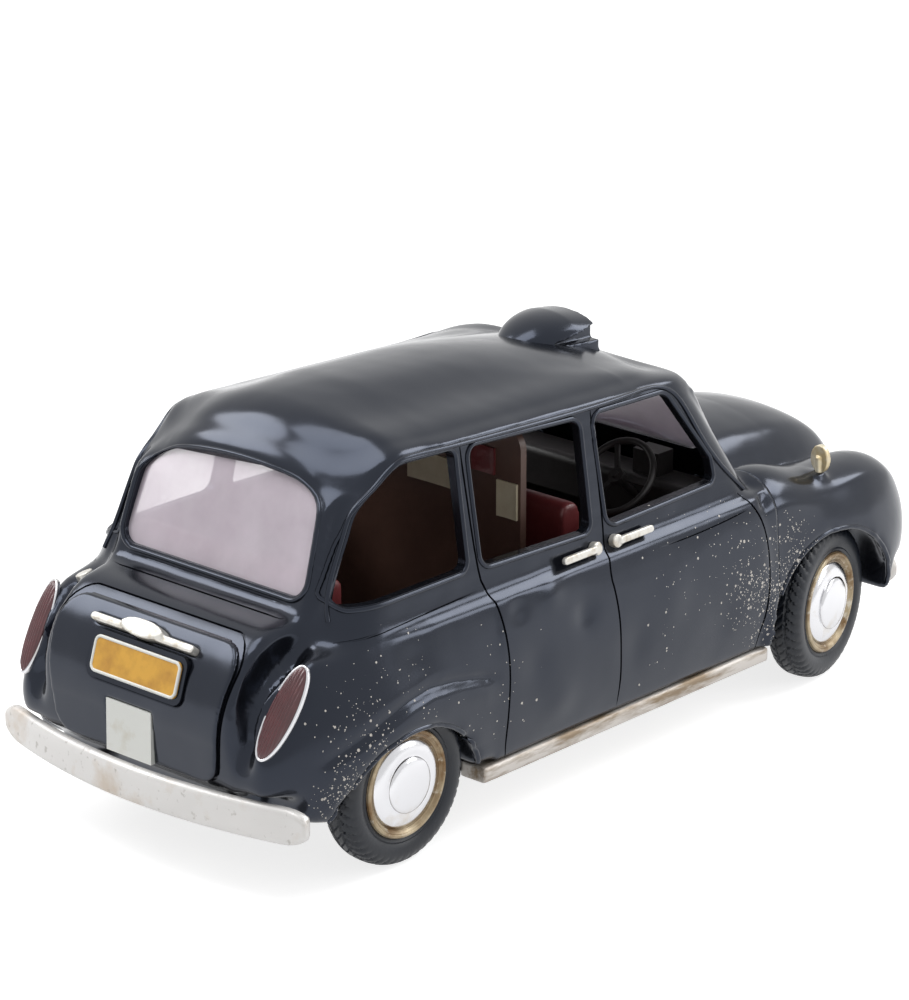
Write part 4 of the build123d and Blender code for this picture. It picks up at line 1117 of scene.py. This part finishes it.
class TAXI_OT_tail_lamps(bpy.types.Operator):
    """Blow the ribbed maroon lenses and bend their thin bright rims"""

    bl_idname = "taxi.tail_lamps"
    bl_label = "Tail lamps"

    def execute(self, context):
        lenses, rims = [], []
        for side in SIDES:
            middle, along, across, out, half = lamp_axes(side)
            out = (out - Vector((0, side * 0.3, 0))).normalized()
            across = out.cross(along).normalized()
            length = half - 0.9
            axes = (middle, along, across, out)
            lenses.append(slab("lens", *(self.sheet(axes, length, floor) for floor in (False, True))))
            ring = []
            for k in range(96):
                turn = 2 * pi * k / 96
                reach = along * ((length + 0.3) * cos(turn)) + across * ((LENS_HALF + 0.3) * sin(turn))
                ring.append((middle + reach + out * 0.9, out))
            rims.append(swept("rim", ring, half_round(1.05, 0.6, 1.0), True))
        lens, rim = joined("tail_lamp_glass", lenses), joined("tail_lamp_rings", rims)
        smooth_shade(lens, 60)
        smooth_shade(rim, 60)
        keep(lens, "body", "red_lens", finish_of("red_lens"), "tail_lamp_lenses")
        keep(rim, "body", "bright", finish_of("bright"), "tail_lamp_rims")
        return {"FINISHED"}

    def sheet(self, axes, length, floor, rows=96, columns=40):
        """A lens's domed and ribbed face, or its flat floor."""
        middle, along, across, out = axes
        grid = []
        for j in range(rows + 1):
            v = -0.99 + 1.98 * j / rows
            row = []
            for i in range(columns + 1):
                u = sin(pi / 2 * (2 * i / columns - 1))
                dome = ((1 - v * v) * (1 - u * u)) ** 0.5
                rib = LENS_RIB * cos(v * LENS_HALF * 2 * pi / RIB_PITCH) * min(1, dome * 2)
                rise = 0.4 if floor else 1.0 + LENS_DOME * dome**0.8 + rib
                reach = along * (length * u * (1 - v * v) ** 0.5) + across * (LENS_HALF * v)
                row.append(middle + reach + out * rise)
            grid.append(row)
        return grid


# The roof sign: its tail's x, its length, half width and rise, the roof under it, and where its side is cut
SIGN_TAIL = 11.5
SIGN_LENGTH = 35.5
SIGN_HALF = 16.2
SIGN_RISE = 13.8
SIGN_BED = 135.5
SIGN_WEDGE = [(21, 142.6), (50, 147.0), (50, 141.0)]
# The hollow in the sign's front, with the panel in it: half width, lowest and highest z, and x of its end
FACE_HALF = 11
FACE_LOW = 139.5
FACE_HIGH = 147.8
FACE_X = 40.8


class TAXI_OT_roof_sign(bpy.types.Operator):
    """Cast the roof sign as a teardrop hood with a hollow front and a wedge cut under each side"""

    bl_idname = "taxi.roof_sign"
    bl_label = "Roof sign"

    def execute(self, context):
        sign = slab("roof_sign_cast", *self.hood())
        modify(sign, "REMESH", mode="VOXEL", voxel_size=0.5 * MM, use_smooth_shade=True)
        cutters = [block(FACE_X, 52, -FACE_HALF, FACE_HALF, FACE_LOW, FACE_HIGH)]
        for side in SIDES:
            low, high = ([(x, side * y, z) for x, z in SIGN_WEDGE] for y in (12.2, 30))
            cutters.append(prism("cutter", low, high))
        carve(sign, cutters)
        melt(sign, 0.5 * MM, 4)
        smooth_shade(sign, 50)
        keep(sign, "body", "black_paint", finish_of("black_paint"), "roof_sign")
        panel = slab("sign_face_panel", self.face(FACE_X + 0.8), self.face(FACE_X - 0.6))
        smooth_shade(panel)
        keep(panel, "body", "sign", finish_of("sign"), "sign_panel")
        return {"FINISHED"}

    def hood(self, rows=56, columns=48):
        """The hood's top and its base, from tail to front."""
        top, base = [], []
        arch = [pi * k / columns for k in range(columns + 1)]
        for j in range(rows + 1):
            u = j / rows
            x = SIGN_TAIL + SIGN_LENGTH * u
            half = SIGN_HALF * (1 - (1 - u) ** 2.4) ** 0.62 + 0.3
            rise = SIGN_RISE * (1 - (1 - min(u / 0.7, 1)) ** 2.2) ** 0.6 - 1.6 * max(u - 0.7, 0) / 0.3 + 0.3
            top.append([(x, -half * cos(t), SIGN_BED + 2 + rise * sin(t) ** 0.55) for t in arch])
            base.append([(x, -half * cos(t), SIGN_BED) for t in arch])
        return top, base

    def face(self, x):
        """A slightly bowed sheet across the hollow."""
        bow = [(x + 0.5 * cos(pi * y / 24) - 0.5, y) for y in range(-FACE_HALF, FACE_HALF + 1)]
        return [[(*p, FACE_LOW + 0.1 + k) for p in bow] for k in range(9)]


# The number plate's middle, the way it faces, and its border's half width, half height and corner
PLATE_AT = Vector((-175, -1.5, 72.5))
PLATE_OUT = Vector((-0.95, 0, 0.31)).normalized()
BORDER_HALF = (20.5, 6.0)
BORDER_CORNER = 2.2
BORDER_LIFT = 1.75


class TAXI_OT_plate_border(bpy.types.Operator):
    """Raise a pale border round the blank number plate"""

    bl_idname = "taxi.plate_border"
    bl_label = "Plate border"

    def execute(self, context):
        up = PLATE_OUT.cross(Vector((0, 1, 0)))
        up = up if up.z > 0 else -up
        w, h = BORDER_HALF
        line = rounded([(-w, -h), (w, -h), (w, h), (-w, h)], [BORDER_CORNER] * 4)
        laid = [(PLATE_AT + Vector((0, y, 0)) + up * z + PLATE_OUT * BORDER_LIFT, PLATE_OUT) for y, z in line]
        border = swept("number_plate_border", laid, half_round(1.15, 0.4, 0.3), True)
        smooth_shade(border, 60)
        keep(border, "body", "plate_white", finish_of("plate_white"))
        return {"FINISHED"}


# Wheels

# A hubcap's section as (radius, outward), from its middle to its edge and back: a dome with a raised disc
CAP_SECTION = [
    (0, 9.5), (3.3, 9.42), (6.7, 9.1), (8.7, 8.7), (9.7, 8.35), (10.1, 8.0), (10.2, 7.5), (10.8, 7.3),
    (11.5, 7.45), (12.9, 7.25), (14.3, 6.8), (15.4, 6.2), (16.1, 5.6), (16.2, 4.8), (0, 4.8),
]
# Beads round a rim: radius, level and width
RIM_BEADS = [(18.7, 6.3, 1.6), (17.2, 5.6, 1.0)]
# Steps round a tyre, and the sideways places of its two zigzag grooves
TREAD_STEPS = 288
ZIGZAGS = (-2.4, 1.9)


def wheel_frame(name):
    """A wheel's centre and its own axes: forward, outward and up, in millimetres."""
    joint = JOINTS["spin_" + name]
    centre = Vector(joint["pos_m"]) / MM
    outward = Vector(joint["axis"]) * (1 if name.endswith("left") else -1)
    up = Vector((0, 0, 1))
    return centre, outward.cross(up), outward, up


class TAXI_OT_hubcaps(bpy.types.Operator):
    """Turn the domed hubcaps and the beads round the rims"""

    bl_idname = "taxi.hubcaps"
    bl_label = "Hubcaps"

    def execute(self, context):
        for name in WHEELS:
            axes = wheel_frame(name)
            cap = lathe("cap_" + name, lambda turn: CAP_SECTION, axes)
            smooth_shade(cap, 50)
            keep(cap, "wheel_" + name, "bright", finish_of("bright"), "hubcap_" + name)
            beads = joined("rim_beads_" + name, [self.bead(axes, *row) for row in RIM_BEADS])
            smooth_shade(beads, 60)
            keep(beads, "wheel_" + name, "rim", finish_of("rim"))
        return {"FINISHED"}

    def bead(self, axes, radius, level, width):
        arch = [(radius + a, level + b) for a, b in half_round(width, width * 0.45)]
        return lathe("bead", lambda turn: arch, axes)


class TAXI_OT_tyres(bpy.types.Operator):
    """Wrap each wheel in a tyre with a cut tread and ribbed shoulders"""

    bl_idname = "taxi.tyres"
    bl_label = "Tyres"

    def execute(self, context):
        s = context.scene.taxi_wheel
        outline = self.outline(s.tyre_radius / MM, s.tyre_width / MM / 2, s.rim_radius / MM)
        depth = s.tread_depth / MM

        def section_at(turn):
            return [(r - depth * share * self.cut(turn, y), y) for r, y, share in outline]

        for name in WHEELS:
            tyre = lathe("tread_" + name, section_at, wheel_frame(name), TREAD_STEPS)
            smooth_shade(tyre, 35)
            keep(tyre, "wheel_" + name, "tyre", finish_of("tyre"), "tyre_" + name)
        return {"FINISHED"}

    def outline(self, radius, half, inner):
        """Closed (radius, sideways, tread share) points, from the inner bead over the tread and back."""
        bead = [
            (inner, -half + 1.2, 0), (inner + 1.2, -half + 0.5, 0), (inner + 1.8, -half + 0.9, 0),
            (inner + 2.6, -half + 0.35, 0), (inner + 4.2, -half, 0), (radius - 4.6, -half, 0),
            (radius - 3.4, -half + 0.25, 0.3), (radius - 2.2, -half + 0.8, 0.8),
        ]
        tread = []
        flat = half - 1.5
        for i in range(25):
            y = -flat + 2 * flat * i / 24
            drop = 1.3 * abs(y / flat) ** 3
            tread.append((radius - drop, y, 1.0))
        back = [(r, -y, t) for r, y, t in reversed(bead)]
        return bead + tread + back + [(inner - 0.2, half - 2, 0), (inner - 0.2, 2 - half, 0)]

    def cut(self, turn, y):
        """How deep the tread is cut: two zigzag grooves and slots across the shoulders."""
        zig = 0.45 * abs((turn * 36 / pi) % 2 - 1)
        groove = any(abs(y - at - zig) < 0.42 for at in ZIGZAGS)
        slot = abs(y) > 2.6 and (turn * 24 / pi + y * 0.22) % 1 < 0.24
        sipe = abs(y) < 1.6 and (turn * 24 / pi - y * 0.3 + 0.5) % 1 < 0.16
        return 1.0 if groove or slot else 0.7 if sipe else 0.0


# Cast fittings, soft copies of their nodes: piece, nodes, slot, size of the faces and smoothing passes
FITTINGS = [
    ("rear_bumper_bar", ("rear_bumper",), "bumper", 0.8, 14),
    ("front_bumper_bar", ("front_bumper",), "bumper", 0.8, 14),
    ("boot_handle_cast", ("boot_handle",), "aged_silver", 0.4, 7),
    ("door_handles_cast", ("door_handles",), "aged_silver", 0.35, 7),
    ("wing_mirrors_cast", ("wing_mirrors",), "old_gold", 0.35, 4),
    ("rear_bench_cast", ("rear_bench_seat", "rear_bench_back"), "seat", 1.2, 8),
    ("driver_seat_cast", ("driver_seat",), "seat", 1.2, 8),
    ("sill_strips", ("sills",), "sill", 0.8, 4),
    ("filler_cap_cast", ("filler_cap",), "aged_silver", 0.4, 3),
]
# Where each bumper starts to round off, the length of its tips and the level of its middle
BUMPER_TIPS = {"rear_bumper_bar": 63.5, "front_bumper_bar": 57.5}
TIP_LENGTH = 11.6
BUMPER_Z = 31
# A pit in the rear bumper: place, radius and depth
BUMPER_PIT = ((-178, -62, 32), 2.2, 1.0)


class TAXI_OT_fittings(bpy.types.Operator):
    """Cast the bumpers, handles, mirrors, seats, sills and filler cap"""

    bl_idname = "taxi.fittings"
    bl_label = "Fittings"

    def execute(self, context):
        for name, nodes, slot, grain, passes in FITTINGS:
            piece = cast_copy(name, nodes)
            melt(piece, grain * MM, passes)
            if name in BUMPER_TIPS:
                self.round_ends(piece, BUMPER_TIPS[name])
                self.pit(piece, *BUMPER_PIT)
            smooth_shade(piece, 50)
            keep(piece, "body", slot, finish_of(slot), *nodes)
        return {"FINISHED"}

    def round_ends(self, piece, start):
        """Draws a bumper's ends in to round tips."""
        points = points_of(piece)
        share = np.clip((np.abs(points[:, 1]) - start) / TIP_LENGTH, 0, 1)
        points[:, 2] = BUMPER_Z + (points[:, 2] - BUMPER_Z) * (1 - share**2.5 * 0.97) ** 0.5
        set_points(piece, points)

    def pit(self, piece, centre, radius, depth):
        points, normals = points_of(piece), normals_of(piece)
        far = np.linalg.norm(points - np.array(centre), axis=1)
        set_points(piece, points - normals * (depth * bell(far, 0, radius))[:, None])


# Blank cards on the back of the partition: y and z of the middle, width, height and finish
CARDS = [
    ((-4, 107.5), 24, 11, "paper"), ((-28.5, 117), 11, 10, "seat"), ((-40, 104), 9.5, 13.5, "paper"),
    ((20, 112), 16, 11, "paper"),
]
PARTITION_BACK = -30


class TAXI_OT_cabin(bpy.types.Operator):
    """Pin blank cards to the partition behind the driver"""

    bl_idname = "taxi.cabin"
    bl_label = "Cabin"

    def execute(self, context):
        for slot in ("paper", "seat"):
            cards = [self.card(*row[:3]) for row in CARDS if row[3] == slot]
            piece = joined("cards_" + slot, cards)
            smooth_shade(piece, 30)
            keep(piece, "body", "cabin_dark", finish_of(slot))
        return {"FINISHED"}

    def card(self, middle, width, height):
        """A card with a raised edge and a slight curl."""
        grids = []
        for lift in (0.9, 0.0):
            grid = []
            for j in range(9):
                row = []
                for i in range(13):
                    u, v = i / 6 - 1, j / 4 - 1
                    curl = 0.35 * u * u * lift + (0.25 if max(abs(u), abs(v)) > 0.8 else 0) * lift
                    y, z = middle[0] + u * width / 2, middle[1] + v * height / 2
                    row.append((PARTITION_BACK - lift * 0.5 - curl, y, z))
                grid.append(row)
            grids.append(grid)
        return slab("card", *grids)


# Nodes whose finish isn't their slot's
OWN_FINISH = {"partition": "partition", "plate_frame": "black_paint"}


class TAXI_OT_paint_frame(bpy.types.Operator):
    """Give every node that stays in view its own finish"""

    bl_idname = "taxi.paint_frame"
    bl_label = "Paint the frame"

    def execute(self, context):
        slots = {row["node"]: row["material_slot"] for row in frame["record"]["subparts"]}
        for name, node in NODES.items():
            if node.hide_render:
                continue
            finish = finish_of(OWN_FINISH.get(name, slots[name]))
            if node.material_slots:
                for place in node.material_slots:
                    place.material = finish
            else:
                node.data.materials.append(finish)
        return {"FINISHED"}


# Studio lights: name, place and what they look at in metres, size and power
LAMPS = [
    ("key", (-0.35, 0.2, 1.5), (0, 0, 0.1), 0.8, 9),
    ("shoulder", (1.0, -0.5, 0.95), (0, 0, 0.08), 0.6, 7),
    ("side", (1.0, -1.15, 0.5), (0, 0, 0.08), 0.45, 3),
    ("tail", (-0.5, 0.95, 1.0), (-0.15, 0, 0.08), 0.6, 7),
]
FRAME_HEIGHT = 24
FLOOR_SIZE = 12


class TAXI_OT_stage(bpy.types.Operator):
    """Add the camera, the white floor and the studio lights"""

    bl_idname = "taxi.stage"
    bl_label = "Stage"

    def execute(self, context):
        s = context.scene.taxi_stage
        deselect()
        bpy.ops.object.camera_add(location=s.camera_at)
        cam = context.object
        level = cos(s.camera_dip)
        way = Vector((level * cos(s.camera_turn), level * sin(s.camera_turn), -sin(s.camera_dip)))
        cam.rotation_euler = way.to_track_quat("-Z", "Y").to_euler()
        cam.data.sensor_fit = "VERTICAL"
        cam.data.sensor_height = FRAME_HEIGHT
        cam.data.lens = s.lens
        context.scene.camera = cam
        bpy.ops.mesh.primitive_plane_add(size=FLOOR_SIZE, location=(0, 0, 0))
        floor = context.object
        floor.name = "floor"
        floor.data.materials.append(self.floor_finish(s))
        for name, at, look, size, power in LAMPS:
            bpy.ops.object.light_add(type="AREA", location=at)
            lamp = context.object
            lamp.name = name
            lamp.data.size = size
            lamp.data.energy = power
            lamp.rotation_euler = (Vector(look) - Vector(at)).to_track_quat("-Z", "Y").to_euler()
        self.sky(context, s)
        context.scene.view_settings.view_transform = "Standard"
        return {"FINISHED"}

    def seen(self, tree):
        """1 for rays from the camera, from gloss and through glass."""
        path = tree.nodes.new("ShaderNodeLightPath")
        total = path.outputs["Is Camera Ray"]
        for name in ("Is Glossy Ray", "Is Transmission Ray"):
            add = tree.nodes.new("ShaderNodeMath")
            add.operation = "MAXIMUM"
            tree.links.new(total, add.inputs[0])
            tree.links.new(path.outputs[name], add.inputs[1])
            total = add.outputs[0]
        return total

    def floor_finish(self, s):
        material = bpy.data.materials.new("white_floor")
        material.use_nodes = True
        tree = material.node_tree
        shader = tree.nodes["Principled BSDF"]
        shader.inputs["Base Color"].default_value = (*s.floor_colour, 1)
        shader.inputs["Roughness"].default_value = 0.9
        shader.inputs["Specular IOR Level"].default_value = 0.0
        shader.inputs["Emission Color"].default_value = (1, 1, 1, 1)
        scale = tree.nodes.new("ShaderNodeMath")
        scale.operation = "MULTIPLY"
        scale.inputs[1].default_value = s.floor_glow
        tree.links.new(self.seen(tree), scale.inputs[0])
        tree.links.new(scale.outputs[0], shader.inputs["Emission Strength"])
        return material

    def sky(self, context, s):
        world = bpy.data.worlds.new("studio")
        context.scene.world = world
        world.use_nodes = True
        tree = world.node_tree
        light = tree.nodes["Background"]
        light.inputs["Color"].default_value = (1, 1, 1, 1)
        mix = tree.nodes.new("ShaderNodeMapRange")
        tree.links.new(self.seen(tree), mix.inputs["Value"])
        mix.inputs["To Min"].default_value = s.world_light
        mix.inputs["To Max"].default_value = 1.0
        tree.links.new(mix.outputs["Result"], light.inputs["Strength"])


PIECES = (
    TAXI_OT_body, TAXI_OT_trim, TAXI_OT_rear_pane, TAXI_OT_boot_lid, TAXI_OT_roof_sign, TAXI_OT_hubcaps,
    TAXI_OT_tail_lamps, TAXI_OT_plate_border, TAXI_OT_tyres, TAXI_OT_fittings, TAXI_OT_cabin,
    TAXI_OT_paint_frame, TAXI_OT_stage,
)


class TAXI_PT_panel(bpy.types.Panel):
    """The taxi's pieces and sizes in the sidebar"""

    bl_label = "Taxi"
    bl_idname = "TAXI_PT_panel"
    bl_space_type = "VIEW_3D"
    bl_region_type = "UI"
    bl_category = "Taxi"

    def draw(self, context):
        for piece in PIECES:
            self.layout.operator(piece.bl_idname)
        for group in (context.scene.taxi_stage, context.scene.taxi_body, context.scene.taxi_wheel):
            for name in group.__annotations__:
                self.layout.prop(group, name)


CLASSES = (StageSettings, BodySettings, WheelSettings, *PIECES, TAXI_PT_panel)


def register():
    for cls in CLASSES:
        bpy.utils.register_class(cls)
    bpy.types.Scene.taxi_stage = bpy.props.PointerProperty(type=StageSettings)
    bpy.types.Scene.taxi_body = bpy.props.PointerProperty(type=BodySettings)
    bpy.types.Scene.taxi_wheel = bpy.props.PointerProperty(type=WheelSettings)


def unregister():
    for name in ("taxi_stage", "taxi_body", "taxi_wheel"):
        delattr(bpy.types.Scene, name)
    for cls in reversed(CLASSES):
        bpy.utils.unregister_class(cls)


def main():
    register()
    bpy.ops.taxi.body()
    bpy.ops.taxi.trim()
    bpy.ops.taxi.rear_pane()
    bpy.ops.taxi.boot_lid()
    bpy.ops.taxi.roof_sign()
    bpy.ops.taxi.hubcaps()
    bpy.ops.taxi.tail_lamps()
    bpy.ops.taxi.plate_border()
    bpy.ops.taxi.tyres()
    bpy.ops.taxi.fittings()
    bpy.ops.taxi.cabin()
    bpy.ops.taxi.paint_frame()
    bpy.ops.taxi.stage()


if __name__ == "__main__":
    main()
